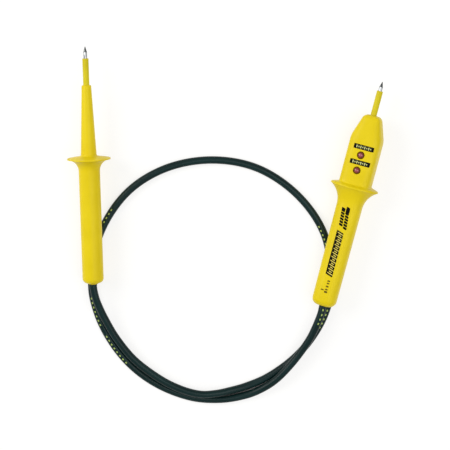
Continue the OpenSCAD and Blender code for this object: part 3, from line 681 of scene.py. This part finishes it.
def board_lacquer():
    """Green lacquer over a woven laminate."""
    f = Finish("board_lacquer", Coat_Weight=0.3, Coat_Roughness=0.15)
    weave = f.add("TexChecker", "Fac", Vector=f.coordinates, Scale=1400)
    tone = f.math("ADD", f.math("MULTIPLY", weave, 0.2), f.noise(260, 3))
    f.feed("Base Color", f.between(tone, LACQUER_GREEN, 0.3, 0.8))
    f.feed("Roughness", f.span(f.noise(900), 0.25, 0.4))
    f.bump(weave, 0.00001)
    return f.material


def component(name, place, half_length, tones, rings):
    """Dipped body with coloured rings, and tinned wires past it."""
    f = Finish(name, place, Coat_Weight=0.2, Coat_Roughness=0.2)
    along = f.math("DIVIDE", f.axis("Y"), half_length)
    body = f.between(f.noise(700, 3), tones)
    for share, colour in rings:
        near = f.math("LESS_THAN", f.math("ABSOLUTE", f.math("SUBTRACT", along, share)), RING_HALF)
        body = f.blend(near, body, colour)
    wire = f.math("GREATER_THAN", f.math("ABSOLUTE", along), 1.0)
    f.feed("Base Color", f.blend(wire, body, TINNED))
    f.feed("Metallic", wire)
    f.feed("Roughness", f.span(f.noise(2100), 0.26, 0.40))
    f.bump(f.noise(1600, 2), 0.00002)
    return f.material


def core(name, place, bare_from_y):
    """Brown insulation, with the bare copper conductor past a place along the probe."""
    f = Finish(name, place)
    bare = f.math("GREATER_THAN", f.axis("Y"), bare_from_y)
    f.feed("Base Color", f.blend(bare, f.between(f.noise(500, 3), CORE_BROWN), CORE_COPPER))
    f.feed("Metallic", bare)
    f.feed("Roughness", f.span(f.noise(1800), 0.34, 0.50))
    f.bump(f.noise(900, 2, f.stretched((1, 0.1, 1))), 0.00002)
    return f.material


def bare_copper():
    """Bare copper, dulled in patches."""
    f = Finish("bare_copper", Metallic=1.0)
    dull = f.noise(800, 4)
    f.feed("Base Color", f.between(dull, COPPER, 0.35, 0.7))
    f.feed("Roughness", f.span(dull, 0.25, 0.45))
    f.bump(f.noise(3000, 2), 0.00001)
    return f.material


def pale_floor():
    """Plain white table, lit a little from within for soft shadows, with painted shade in the narrowest
    gaps, where that glow is cut.
    """
    f = Finish("pale_floor", Roughness=0.9, Specular_IOR_Level=0.0)
    f.feed("Base Color", f.between(f.noise(3, 2), FLOOR_TONES))
    f.shader.inputs["Emission Color"].default_value = FLOOR_LIGHT
    # Painted shade: ambient occlusion turns the floor's glow down in narrow gaps, such as between the cord's
    # runs.
    openness = f.add("AmbientOcclusion", "AO", Distance=CORD_D)
    f.feed("Emission Strength", f.span(openness, 0.0, FLOOR_GLOW, CLOSED, OPEN))
    return f.material


# Camera, light and floor
def make_camera():
    """Camera almost straight above, as the photograph was taken."""
    data = bpy.data.cameras.new("camera")
    data.sensor_width = SENSOR_W
    data.lens = SENSOR_W * VIEW_DISTANCE / VIEW_W
    camera = linked("camera", data)
    camera.rotation_euler = (-VIEW_TILT, 0, 0)
    away = Vector((0, math.sin(VIEW_TILT), math.cos(VIEW_TILT)))
    camera.location = Vector(VIEW_CENTRE) + VIEW_DISTANCE * away
    bpy.context.scene.camera = camera


def area_light(name, at, target, size, power):
    """Round soft light that faces its target."""
    data = bpy.data.lights.new(name, "AREA")
    data.shape = "DISK"
    data.size = size
    data.energy = power
    light = linked(name, data)
    light.location = at
    light.rotation_euler = (Vector(target) - Vector(at)).to_track_quat("-Z", "Y").to_euler()


def make_studio():
    """Soft lights, white surroundings and the floor."""
    scene = bpy.context.scene
    scene.view_settings.view_transform = "Standard"
    world = bpy.data.worlds.new("studio")
    world.use_nodes = True
    surroundings = world.node_tree.nodes["Background"]
    surroundings.inputs["Color"].default_value = (1, 1, 1, 1)
    surroundings.inputs["Strength"].default_value = SURROUND_LIGHT
    scene.world = world
    for light in STUDIO_LIGHTS:
        area_light(*light)
    half = FLOOR_SIZE / 2
    corners = [(-half, -half, 0), (half, -half, 0), (half, half, 0), (-half, half, 0)]
    floor = new_object("floor", corners, [(0, 1, 2, 3)], material=pale_floor())


# Cord
def curve_point(a, b, c, d, t):
    """Smooth curve through four points, at t between the middle two."""
    return b + 0.5 * t * (c - a + t * (2 * a - 5 * b + 4 * c - d + t * (3 * (b - c) + d - a)))


def cord_route():
    """The route's own points, from one bush to the other."""
    plain_out = -(PLAIN.to_3x3() @ Vector((0, 1, 0)))
    indicator_out = -(INDICATOR.to_3x3() @ Vector((0, 1, 0)))
    plain_exit = PLAIN.translation + LIP_H * plain_out
    indicator_exit = INDICATOR.translation + NECK_OUT * indicator_out
    middle = [Vector((x, y, (lift + 0.5) * CORD_D)) for x, y, lift in CORD_POINTS]
    return [plain_exit, plain_exit + PLAIN_LEAD * plain_out, *middle,
            indicator_exit + INDICATOR_LEAD * indicator_out, indicator_exit]


def smooth_path(route):
    """The route with extra points between its own, kept on the table."""
    ends = [2 * route[0] - route[1], *route, 2 * route[-1] - route[-2]]
    path = [curve_point(*ends[i:i + 4], j / CORD_STEPS)
            for i in range(len(route) - 1) for j in range(CORD_STEPS)]
    path.append(route[-1])
    return [Vector((p.x, p.y, max(p.z, CORD_D / 2))) for p in path]


def path_frames(path):
    """(place, side, up) at each point of a path; the ends are square to their exits."""
    tangents = [(b - a).normalized() for a, b in zip(path, path[2:])]
    tangents = [(path[1] - path[0]).normalized(), *tangents, (path[-1] - path[-2]).normalized()]
    frames = []
    for place, along in zip(path, tangents):
        side = along.cross(Vector((0, 0, 1))).normalized()
        frames.append((place, side, side.cross(along)))
    return frames


def path_distances(path):
    """Length of the path up to each of its points."""
    total, distances = 0.0, [0.0]
    for a, b in zip(path, path[1:]):
        total += (b - a).length
        distances.append(total)
    return distances


def add_cord_uv(mesh, distances):
    """UV in metres: U along the cord and V round it."""
    layer = mesh.uv_layers.new(name="along").data
    for face in mesh.polygons:
        places = [divmod(mesh.loops[i].vertex_index, CORD_SIDES) for i in face.loop_indices]
        sides = [side for ring, side in places]
        wraps = max(sides) - min(sides) > CORD_SIDES / 2
        for i, (ring, side) in zip(face.loop_indices, places):
            turn = side + CORD_SIDES if wraps and side < CORD_SIDES / 2 else side
            layer[i].uv = (distances[ring], math.pi * CORD_D * turn / CORD_SIDES)


def cord_mark_mesh(frames, distances, at, turn):
    """Small film on the sheath, at a distance along it and a turn round it from its top."""
    def spot(u, v, lift):
        around, along = rounded(u, v, CORD_MARK_W, CORD_MARK_L, MARK_ROUND)
        k = bisect.bisect_right(distances, at + along) - 1
        t = (at + along - distances[k]) / (distances[k + 1] - distances[k])
        place, side, up = (a.lerp(b, t) for a, b in zip(frames[k], frames[k + 1]))
        angle = turn + around / (CORD_D / 2)
        return place + (CORD_D / 2 + lift) * (math.sin(angle) * side + math.cos(angle) * up)
    return film_mesh(spot, FILM)


def make_cord(sheath):
    """The sheath as one smooth tube with its printed marks, standing for the CAD cord."""
    path = smooth_path(cord_route())
    frames, distances = path_frames(path), path_distances(path)
    r = CORD_D / 2
    turns = [2 * math.pi * j / CORD_SIDES for j in range(CORD_SIDES)]
    rings = [[p + r * (math.cos(a) * side + math.sin(a) * up) for a in turns] for p, side, up in frames]
    cord = new_object("cord_sheath", *ring_mesh(rings), material=sheath)
    add_cord_uv(cord.data, distances)
    stand_for(cord, "cord")
    films = [cord_mark_mesh(frames, distances, start + i * CORD_MARK_PITCH, turn)
             for start, count, turn in CORD_MARKS for i in range(count)]
    marks = printed("cord_marks", films, ink("cord_ink", CORD_INK, 0.5))


# Plain probe
def make_plain_barrel(plastic):
    """Round handle, trumpet guard and tapered nose, turned with its stepped bore."""
    taper_y = PLAIN_HANDLE_L - BORE_TAPER_L / 2
    rim = (PLAIN_GUARD_R - GUARD_EDGE / 2, PLAIN_HANDLE_L + GUARD_EDGE / 2)
    outline = [
        (PLAIN_BORE_R, 0),
        *arc((PLAIN_HANDLE_R - PLAIN_BASE_ROUND, PLAIN_BASE_ROUND), PLAIN_BASE_ROUND, -90, 0,
             BARREL_ROUND_STEPS),
        *[(PLAIN_HANDLE_R, mix(PLAIN_BASE_ROUND, PLAIN_HANDLE_L - PLAIN_FLARE_L, t))
          for t in (0.25, 0.5, 0.75)],
        *[(mix(PLAIN_HANDLE_R, PLAIN_GUARD_R, out), PLAIN_HANDLE_L - PLAIN_FLARE_L * (1 - along))
          for along, out in flare_shares(PLAIN_FLARE_TURN)],
        *arc(rim, GUARD_EDGE / 2, 0, PLAIN_RIM_END_DEG, BARREL_EDGE_STEPS),
        *arc((PLAIN_ROOT_R + PLAIN_ROOT_FILLET, PLAIN_ROOT_Y + PLAIN_ROOT_FILLET), PLAIN_ROOT_FILLET,
             PLAIN_ROOT_START_DEG, -180, BARREL_ROUND_STEPS),
        *arc((PLAIN_NOSE_END_R - PLAIN_END_ROUND, PLAIN_END_Y - PLAIN_END_ROUND), PLAIN_END_ROUND,
             PLAIN_END_START_DEG, 90, BARREL_EDGE_STEPS),
        (SLEEVE_HOLE_R, PLAIN_END_Y), (SLEEVE_HOLE_R, PLAIN_STOP_Y), (NOSE_BORE_R, PLAIN_STOP_Y),
        (NOSE_BORE_R, taper_y + BORE_TAPER_L), (PLAIN_BORE_R, taper_y)]
    make_turned("plain_barrel_moulding", outline, PLAIN, plastic, "plain_barrel", BARREL_SIDES)


def make_sleeve(name, place, y0, y1, plastic, node):
    """Insulating tube, softly bevelled at its front edge."""
    inner = STEM_R + FIT_GAP
    outline = [(inner, y0), (SLEEVE_R, y0),
               *arc((SLEEVE_R - SLEEVE_BEVEL, y1 - SLEEVE_BEVEL), SLEEVE_BEVEL, 0, 90, BEVEL_STEPS),
               (inner, y1)]
    make_turned(name, outline, place, plastic, node)


def make_tip(name, place, back, stop_y, sleeve_end_y, tip_l, node):
    """Contact rod in front of its back part: collar, stem in the sleeve, bare tip and darker point."""
    back_y = stop_y - COLLAR_L
    point_y = sleeve_end_y + tip_l
    cone_y = point_y - TIP_CONE_L
    outline = [*back, (COLLAR_R, back_y), (COLLAR_R, stop_y), (STEM_R, stop_y), (STEM_R, sleeve_end_y),
               (TIP_R, sleeve_end_y), (TIP_R, cone_y), (POINT_R, point_y - POINT_R / 2),
               (POINT_R / 2, point_y), (0, point_y)]
    make_turned(name, outline, place, bright_metal(place, cone_y), node)


def make_tips():
    """The plain probe's rod has a cup for the resistor's wire, the indicator's a tail for the clip."""
    collar_y = PLAIN_STOP_Y - COLLAR_L
    cup_y = collar_y - CUP_L
    bore_y = cup_y + CUP_BORE_L
    cup = [(0, bore_y), (CUP_BORE_R, bore_y), (CUP_BORE_R, cup_y), (CUP_R, cup_y), (CUP_R, collar_y)]
    make_tip("plain_contact_rod", PLAIN, cup, PLAIN_STOP_Y, PLAIN_SLEEVE_END_Y, PLAIN_TIP_L, "plain_tip")
    tail_y = BOARD_Y1 - CLIP_FROM_END - CLIP_L - TAIL_PAST_CLIP
    tail = [(0, tail_y), (TAIL_R, tail_y), (TAIL_R, CAVITY_END_Y - COLLAR_L)]
    make_tip("indicator_contact_rod", INDICATOR, tail, CAVITY_END_Y, SLEEVE_END_Y, INDICATOR_TIP_L,
             "indicator_tip")


def make_bushes(plastic, sheath):
    """Where the cord leaves each handle: a lip on the plain probe, a rubber neck on the indicator."""
    inner = CORE_R + FIT_GAP
    plug_r = PLAIN_BORE_R - FIT_GAP
    lip = [(inner, -LIP_H), *arc((LIP_R - LIP_ROUND, -LIP_H + LIP_ROUND), LIP_ROUND, -90, 0, LIP_STEPS),
           (LIP_R, 0), (plug_r, 0), (plug_r, PLUG_L), (inner, PLUG_L)]
    make_turned("plain_bush_lip", lip, PLAIN, plastic, "plain_cord_bush")
    neck = [(inner, -NECK_OUT), (NECK_R, -NECK_OUT), (NECK_R, BASE_WALL), (BUSH_R, BASE_WALL),
            (BUSH_R, BUSH_END_Y), (inner, BUSH_END_Y)]
    make_turned("indicator_bush_neck", neck, INDICATOR, sheath, "indicator_cord_bush")


# Indicator housing. A station is (place along the axis, half width, half height, squareness).
def grown(station, by):
    """Station with its section larger all round by a distance."""
    return station[0], station[1] + by, station[2] + by, station[3]


def handle_at(y):
    """Station of the straight handle."""
    t = y / (RIM_Y - FLARE_L)
    return y, mix(HANDLE_BASE_W, HANDLE_W, t) / 2, HANDLE_H / 2, HANDLE_SQUARE


def nose_at(y):
    """Station of the tapered nose."""
    t = (y - SHOULDER_Y) / NOSE_L
    return y, mix(BODY_W, NOSE_END_W, t) / 2, mix(BODY_H, NOSE_END_H, t) / 2, NOSE_SQUARE


def straight_at(y):
    """Station of the handle or of the nose, whichever a place lies in."""
    return nose_at(y) if y > SHOULDER_Y else handle_at(y)


def front_shares():
    """Shares forward and inward along the guard's front: thin edge, slope, and fillet into the body."""
    knots = [(0, 0), *((mix(GUARD_EDGE / GUARD_FRONT_L, 1, t), share) for t, share in FRONT_SLOPE)]
    before, after = FRONT_TURNS
    ends = [Vector(p) for p in (before, *knots, after)]
    run = []
    for i in range(1, len(knots)):
        run += [curve_point(*ends[i - 1:i + 3], j / FRONT_STEPS) for j in range(FRONT_STEPS)]
    return [(p.x, min(max(p.y, 0), 1)) for p in run[1:]] + [(1, 1)]


def shoulder_at(u):
    """Station of the round between the body and the nose, at a share of the way along it."""
    drop = SHOULDER_ROUND * u * u / NOSE_L
    return (SHOULDER_Y + SHOULDER_ROUND * (2 * u - 1), BODY_W / 2 - (BODY_W - NOSE_END_W) * drop / 2,
            BODY_H / 2 - (BODY_H - NOSE_END_H) * drop / 2, mix(BODY_SQUARE, NOSE_SQUARE, u))


def outer_stations():
    """Stations of the housing's outer form, from the handle's base to the end of the nose."""
    quarter = [math.pi / 2 * i / ROUND_STEPS for i in range(ROUND_STEPS + 1)]
    base = [grown(handle_at(BASE_ROUND * (1 - math.cos(a))), -BASE_ROUND * (1 - math.sin(a)))
            for a in quarter]
    handle = [handle_at(mix(BASE_ROUND, RIM_Y - FLARE_L, i / HANDLE_STEPS)) for i in range(1, HANDLE_STEPS)]
    flares = [(RIM_Y - FLARE_L * (1 - along), mix(HANDLE_W, GUARD_W, out) / 2,
               mix(HANDLE_H, GUARD_H, out) / 2, mix(HANDLE_SQUARE, GUARD_SQUARE, out))
              for along, out in flare_shares(FLARE_TURN)]
    front = [(mix(RIM_Y, FRONT_Y, forward), mix(GUARD_W, BODY_W, inward) / 2,
              mix(GUARD_H, BODY_H, inward) / 2, mix(GUARD_SQUARE, BODY_SQUARE, inward))
             for forward, inward in front_shares()]
    body_end = shoulder_at(0)
    body = [(mix(FRONT_Y, body_end[0], i / BODY_STEPS), *body_end[1:]) for i in range(1, BODY_STEPS)]
    shoulder = [shoulder_at(i / BODY_STEPS) for i in range(BODY_STEPS + 1)]
    nose_from, nose_to = SHOULDER_Y + SHOULDER_ROUND, END_Y - NOSE_ROUND
    taper = [nose_at(mix(nose_from, nose_to, i / NOSE_STEPS)) for i in range(1, NOSE_STEPS)]
    end = [grown(nose_at(END_Y - NOSE_ROUND * (1 - math.sin(a))), -NOSE_ROUND * (1 - math.cos(a)))
           for a in quarter]
    return base + handle + flares + front + body + shoulder + taper + end


def cavity_stations():
    """The hollow inside: handle, then the widening under the guard, then the body and the nose."""
    through = [handle_at(BASE_WALL), handle_at(RIM_Y - FLARE_L),
               (RIM_Y - FLARE_L / 3, HANDLE_W / 2, HANDLE_H / 2, HANDLE_SQUARE),
               (FRONT_Y, BODY_W / 2, BODY_H / 2, BODY_SQUARE),
               (SHOULDER_Y - SHOULDER_ROUND, BODY_W / 2, BODY_H / 2, BODY_SQUARE),
               nose_at(SHOULDER_Y + SHOULDER_ROUND), nose_at(CAVITY_END_Y)]
    return [grown(station, -SHELL_WALL) for station in through]


def signed_power(value, power):
    """Power of a number's size, with the number's own sign."""
    return math.copysign(abs(value) ** power, value)


def section_point(station, angle):
    """Point of a station's superellipse."""
    y, half_w, half_h, square = station
    return (half_w * signed_power(math.cos(angle), 2 / square), y,
            half_h * signed_power(math.sin(angle), 2 / square))


def height_at(station, x):
    """Half height of a station's section at a distance from the middle."""
    return station[2] * (1 - (abs(x) / station[1]) ** station[3]) ** (1 / station[3])


def half_section(station, side):
    """Half of an outer section, above or below the parting line, bevelled there by SEAM."""
    ring = [section_point(station, side * math.pi * i / OUTER_STEPS) for i in range(1, OUTER_STEPS)]
    level = side * SEAM
    edge = station[1] - SEAM
    return [(edge, station[0], 0), (station[1], station[0], level), *ring, (-station[1], station[0], level),
            (-edge, station[0], 0)]


def cavity_mesh(by=0.0):
    """The hollow inside the shells, larger all round by a distance."""
    return ring_mesh([[section_point(grown(station, by), math.pi * i / CAVITY_STEPS)
                       for i in range(2 * CAVITY_STEPS)] for station in cavity_stations()])


def rib_mesh(y, side):
    """Cross wall from the parting line into the shell, RIB_T thick."""
    station = grown(straight_at(y), ROOT - SHELL_WALL)
    outline = [section_point(station, side * math.pi * i / CAVITY_STEPS) for i in range(CAVITY_STEPS + 1)]
    return ring_mesh([[(x, y + step, z) for x, _, z in outline] for step in (0, RIB_T)])


def peg_places():
    """Where the pegs stand, in pairs across the axis."""
    along = [(HANDLE_PEG_X, BUSH_END_Y + RIB_T + PEG_FROM_RIB),
             (HANDLE_PEG_X, RIM_Y - FLARE_L - PEG_FROM_FLARE), (NOSE_PEG_X, SHOULDER_Y + NOSE_PEG_Y)]
    return [(side * x, y) for side in (-1, 1) for x, y in along]


def boss_meshes(side):
    """Bosses from the parting line into the wall."""
    meshes = []
    for x, y in peg_places():
        top = height_at(grown(straight_at(y), -SHELL_WALL), x) + ROOT
        meshes.append(post_mesh(x, y, *sorted((0, side * top)), BOSS_R))
    return meshes


def post_meshes(z0, z1):
    """Posts that clamp the circuit board."""
    x = BOARD_W / 2 - POST_R - POST_MARGIN
    return [post_mesh(side * x, y, z0, z1, POST_R) for side in (-1, 1)
            for y in (BOARD_Y0 + REAR_POST_Y, BOARD_Y1 - FRONT_POST_Y)]


def band_mesh(z0, z1, by, inward=0.0):
    """Tongue, or the groove for it, round the cavity's edge, which it may pass by inward."""
    band = new_object("band", *cavity_mesh(by))
    level = ring_mesh([[(-BODY_W, y, z0), (BODY_W, y, z0), (BODY_W, y, z1), (-BODY_W, y, z1)]
                       for y in (0, END_Y)])
    combine(band, [level], "INTERSECT")
    combine(band, [cavity_mesh(-inward)], "DIFFERENCE")
    made = [tuple(v.co) for v in band.data.vertices], [tuple(face.vertices) for face in band.data.polygons]
    bpy.data.objects.remove(band)
    return made


def hole_meshes():
    """What passes through the walls and the cross walls along the axis."""
    return [rod_mesh(-CUT, BASE_WALL + CUT, NECK_R + FIT_GAP),
            rod_mesh(BUSH_END_Y - CUT, BUSH_END_Y + RIB_T + CUT, CORE_R + CORE_ROOM),
            rod_mesh(FRONT_RIB_Y - CUT, FRONT_RIB_Y + RIB_T + CUT, TAIL_R + FIT_GAP),
            rod_mesh(CAVITY_END_Y - CUT, END_Y + CUT, SLEEVE_HOLE_R)]


def lamp_hole_mesh(y):
    """Round hole for a lamp, softly bevelled at the face."""
    face_z = BODY_H / 2
    r = LENS_R + FIT_GAP
    outline = [(0, BOARD_TOP), (r, BOARD_TOP), (r, face_z - HOLE_BEVEL), (r + HOLE_BEVEL, face_z),
               (r + HOLE_BEVEL, BODY_H), (0, BODY_H)]
    return upright_mesh(outline, 0, y, LAMP_SIDES)


def half_housing(name, side, posts):
    """Front half (side 1) or rear half (side -1) of the hollow housing, with what stands inside."""
    shell = new_object(name, *ring_mesh([half_section(station, side) for station in outer_stations()]))
    combine(shell, [cavity_mesh()], "DIFFERENCE")
    ribs = [rib_mesh(y, side) for y in (BUSH_END_Y, FRONT_RIB_Y)]
    combine(shell, ribs + boss_meshes(side) + posts, "UNION")
    return shell


def finish_shell(shell, plastic, node):
    """Clean a shell's mesh and put it in its place."""
    clean(shell)
    finish_surface(shell, plastic, SHELL_SHARP)
    shell.data.transform(INDICATOR)
    stand_for(shell, node)


def make_shells(plastic):
    """The housing's two halves: pegs and a tongue on the front go into sockets and a groove in the rear."""
    front = half_housing("front_shell_moulding", 1, post_meshes(BOARD_TOP, BODY_H / 2 - SHELL_WALL + ROOT))
    pegs = [post_mesh(x, y, -PEG_L, ROOT, PEG_R) for x, y in peg_places()]
    combine(front, pegs + [band_mesh(-TONGUE_H, ROOT, TONGUE_T)], "UNION")
    combine(front, hole_meshes() + [lamp_hole_mesh(y) for y in (LOWER_LAMP_Y, UPPER_LAMP_Y)], "DIFFERENCE")

    rear = half_housing("rear_shell_moulding", -1, post_meshes(SHELL_WALL - ROOT - BODY_H / 2, BOARD_LIFT))
    groove = band_mesh(-TONGUE_H - FIT_GAP, CUT, TONGUE_T + FIT_GAP, GROOVE_INWARD)
    combine(rear, [groove], "DIFFERENCE")
    sockets = [post_mesh(x, y, -PEG_L - SOCKET_ROOM, CUT, PEG_R + FIT_GAP) for x, y in peg_places()]
    combine(rear, hole_meshes() + sockets, "DIFFERENCE")

    finish_shell(front, plastic, "front_shell")
    finish_shell(rear, plastic, "rear_shell")


# Lamps
def make_lamp(name, y, node):
    """Lamp with a rim at its foot, a straight lens and a dome; its own frame stands on its axis."""
    dome = BODY_H / 2 + LAMP_PROUD - LENS_R - BOARD_TOP
    outline = [(0, 0), (LAMP_RIM_R, 0), (LAMP_RIM_R, LAMP_RIM_H), (LENS_R, LAMP_RIM_H),
               *arc((0, dome), LENS_R, 0, DOME_END_DEG, DOME_STEPS), (0, dome + LENS_R)]
    stand = INDICATOR @ Matrix.Translation((0, y, BOARD_TOP))
    lamp = new_object(name, *upright_mesh(outline, 0, 0, LAMP_SIDES), stand, red_lens(stand))
    stand_for(lamp, node)


# Print on the indicator probe
def face_spot(x, y, lift):
    """Point over the face of the handle or of the body."""
    station = handle_at(y) if y < RIM_Y else shoulder_at(0)
    return x, y, height_at(station, x) + lift


def mark_mesh(x, y, w, l, heights, slant=0.0, rounding=MARK_ROUND, across=MARK_STEPS, along=MARK_STEPS):
    """Film on the face round a point, its ends slanted across it."""
    def spot(u, v, lift):
        over, up = rounded(u, v, w, l, rounding)
        return face_spot(x + over, y + up + slant * over, lift)
    return film_mesh(spot, heights, across, along)


def make_lamp_plates(black, pale):
    """A dark plate over each lamp, with a row of long and short ticks."""
    plates, ticks = [], []
    for lamp_y in (LOWER_LAMP_Y, UPPER_LAMP_Y):
        y = lamp_y + PLATE_FROM_LAMP
        plates.append(mark_mesh(PLATE_X, y, PLATE_W, PLATE_H, FILM, rounding=PLATE_ROUND,
                                across=PLATE_STEPS))
        for i in range(TICK_COUNT):
            x = PLATE_X + (i - (TICK_COUNT - 1) / 2) * TICK_PITCH
            length = TICK_L * (SHORT_TICK if i % 2 else 1)
            ticks.append(mark_mesh(x, y, TICK_W, length, OVER_FILM))
    printed("lamp_plates", plates, black, INDICATOR)
    printed("lamp_plate_ticks", ticks, pale, INDICATOR)


def make_handle_print(black, yellow, faint):
    """Two rows of short marks, a dark block with a ladder of bars, and small marks near the base."""
    middle = (BLOCK_Y0 + BLOCK_Y1) / 2
    dark = [mark_mesh(BLOCK_X, middle, BLOCK_W, BLOCK_Y1 - BLOCK_Y0, FILM, PRINT_SLANT, BLOCK_ROUND,
                      *BLOCK_STEPS)]
    for x, top, head, count in ROWS:
        dark.append(mark_mesh(x + ROW_LEAN * head / 2, top - head / 2, ROW_W, head, FILM, PRINT_SLANT))
        for i in range(count):
            down = head + (i + 0.5) * ROW_PITCH + (ROW_PITCH - ROW_BAR_L) / 2
            dark.append(mark_mesh(x + ROW_LEAN * down, top - down, ROW_W, ROW_BAR_L, FILM, PRINT_SLANT))
    pitch = (BLOCK_Y1 - BLOCK_Y0) / (BLOCK_BARS + 1)
    bars = [mark_mesh(BLOCK_BAR_X, BLOCK_Y0 + (i + 1) * pitch, BLOCK_BAR_W * (SHORT_TICK if i % 2 else 1),
                      BLOCK_BAR_L, OVER_FILM, PRINT_SLANT) for i in range(BLOCK_BARS)]
    small = [mark_mesh(*mark, FILM) for mark in FOOT_MARKS]
    printed("handle_print", dark, black, INDICATOR)
    printed("handle_print_bars", bars, yellow, INDICATOR)
    printed("handle_foot_marks", small, faint, INDICATOR)


# Inner components keep their CAD shapes
def dress(material, *nodes):
    """Give CAD nodes a material."""
    for node in nodes:
        for slot in frame["nodes"][node].material_slots:
            slot.material = material


def dress_components():
    """Each component's material runs along its own axis, from its coloured body to its tinned wires."""
    safety_y = PLAIN_STOP_Y - COLLAR_L - CUP_L - SAFETY_LEAD - SAFETY_L / 2
    place = PLAIN @ Matrix.Translation((0, safety_y, 0))
    dress(component("safety_resistor", place, SAFETY_L / 2, RESISTOR_TAN, RESISTOR_RINGS), "plain_resistor")
    resistor_at = (LAMP_RIM_R + RESISTOR_R + RESISTOR_ROOM, (LOWER_LAMP_Y + UPPER_LAMP_Y) / 2,
                   BOARD_TOP + PART_GAP + RESISTOR_R)
    diode_at = (BOARD_W / 2 - DIODE_FROM_SIDE, BOARD_Y1 - DIODE_FROM_END, BOARD_LIFT - PART_GAP - DIODE_R)
    for kind, (x, y, z), length, tones, rings in (
            ("resistor", resistor_at, RESISTOR_L, RESISTOR_BLUE, RESISTOR_RINGS),
            ("diode", diode_at, DIODE_L, DIODE_BLACK, DIODE_RINGS)):
        for node, side in ((f"{kind}_1", 1), (f"{kind}_2", -1)):
            place = INDICATOR @ Matrix.Translation((side * x, y, z))
            dress(component(node, place, length / 2, tones, rings), node)
    dress(core("plain_core", PLAIN, PLAIN_HANDLE_L), "plain_core")
    dress(core("indicator_core", INDICATOR, BOARD_Y0 + CORE_ON_BOARD), "indicator_core")
    dress(bare_copper(), "plain_splice", "tip_clip")
    dress(board_lacquer(), "circuit_board")
    dress(bright_metal(INDICATOR, END_Y), "led_leads")


make_camera()
make_studio()
plastic = yellow_plastic("yellow_plastic", YELLOW)
sleeving = yellow_plastic("yellow_sleeving", SLEEVE_YELLOW)
sheath = cord_sheath()
make_cord(sheath)
make_plain_barrel(plastic)
make_sleeve("plain_insulation", PLAIN, PLAIN_STOP_Y, PLAIN_SLEEVE_END_Y, sleeving, "plain_sleeve")
make_sleeve("indicator_insulation", INDICATOR, CAVITY_END_Y, SLEEVE_END_Y, sleeving, "indicator_sleeve")
make_tips()
make_bushes(plastic, sheath)
make_shells(plastic)
make_lamp("upper_lamp", UPPER_LAMP_Y, "upper_led")
make_lamp("lower_lamp", LOWER_LAMP_Y, "lower_led")
black = ink("black_ink", BLACK_INK, 0.5)
make_lamp_plates(black, ink("pale_ink", PALE_INK, 0.45))
make_handle_print(black, ink("yellow_ink", YELLOW_INK, 0.42), ink("faint_ink", FAINT_INK, 0.45))
dress_components()
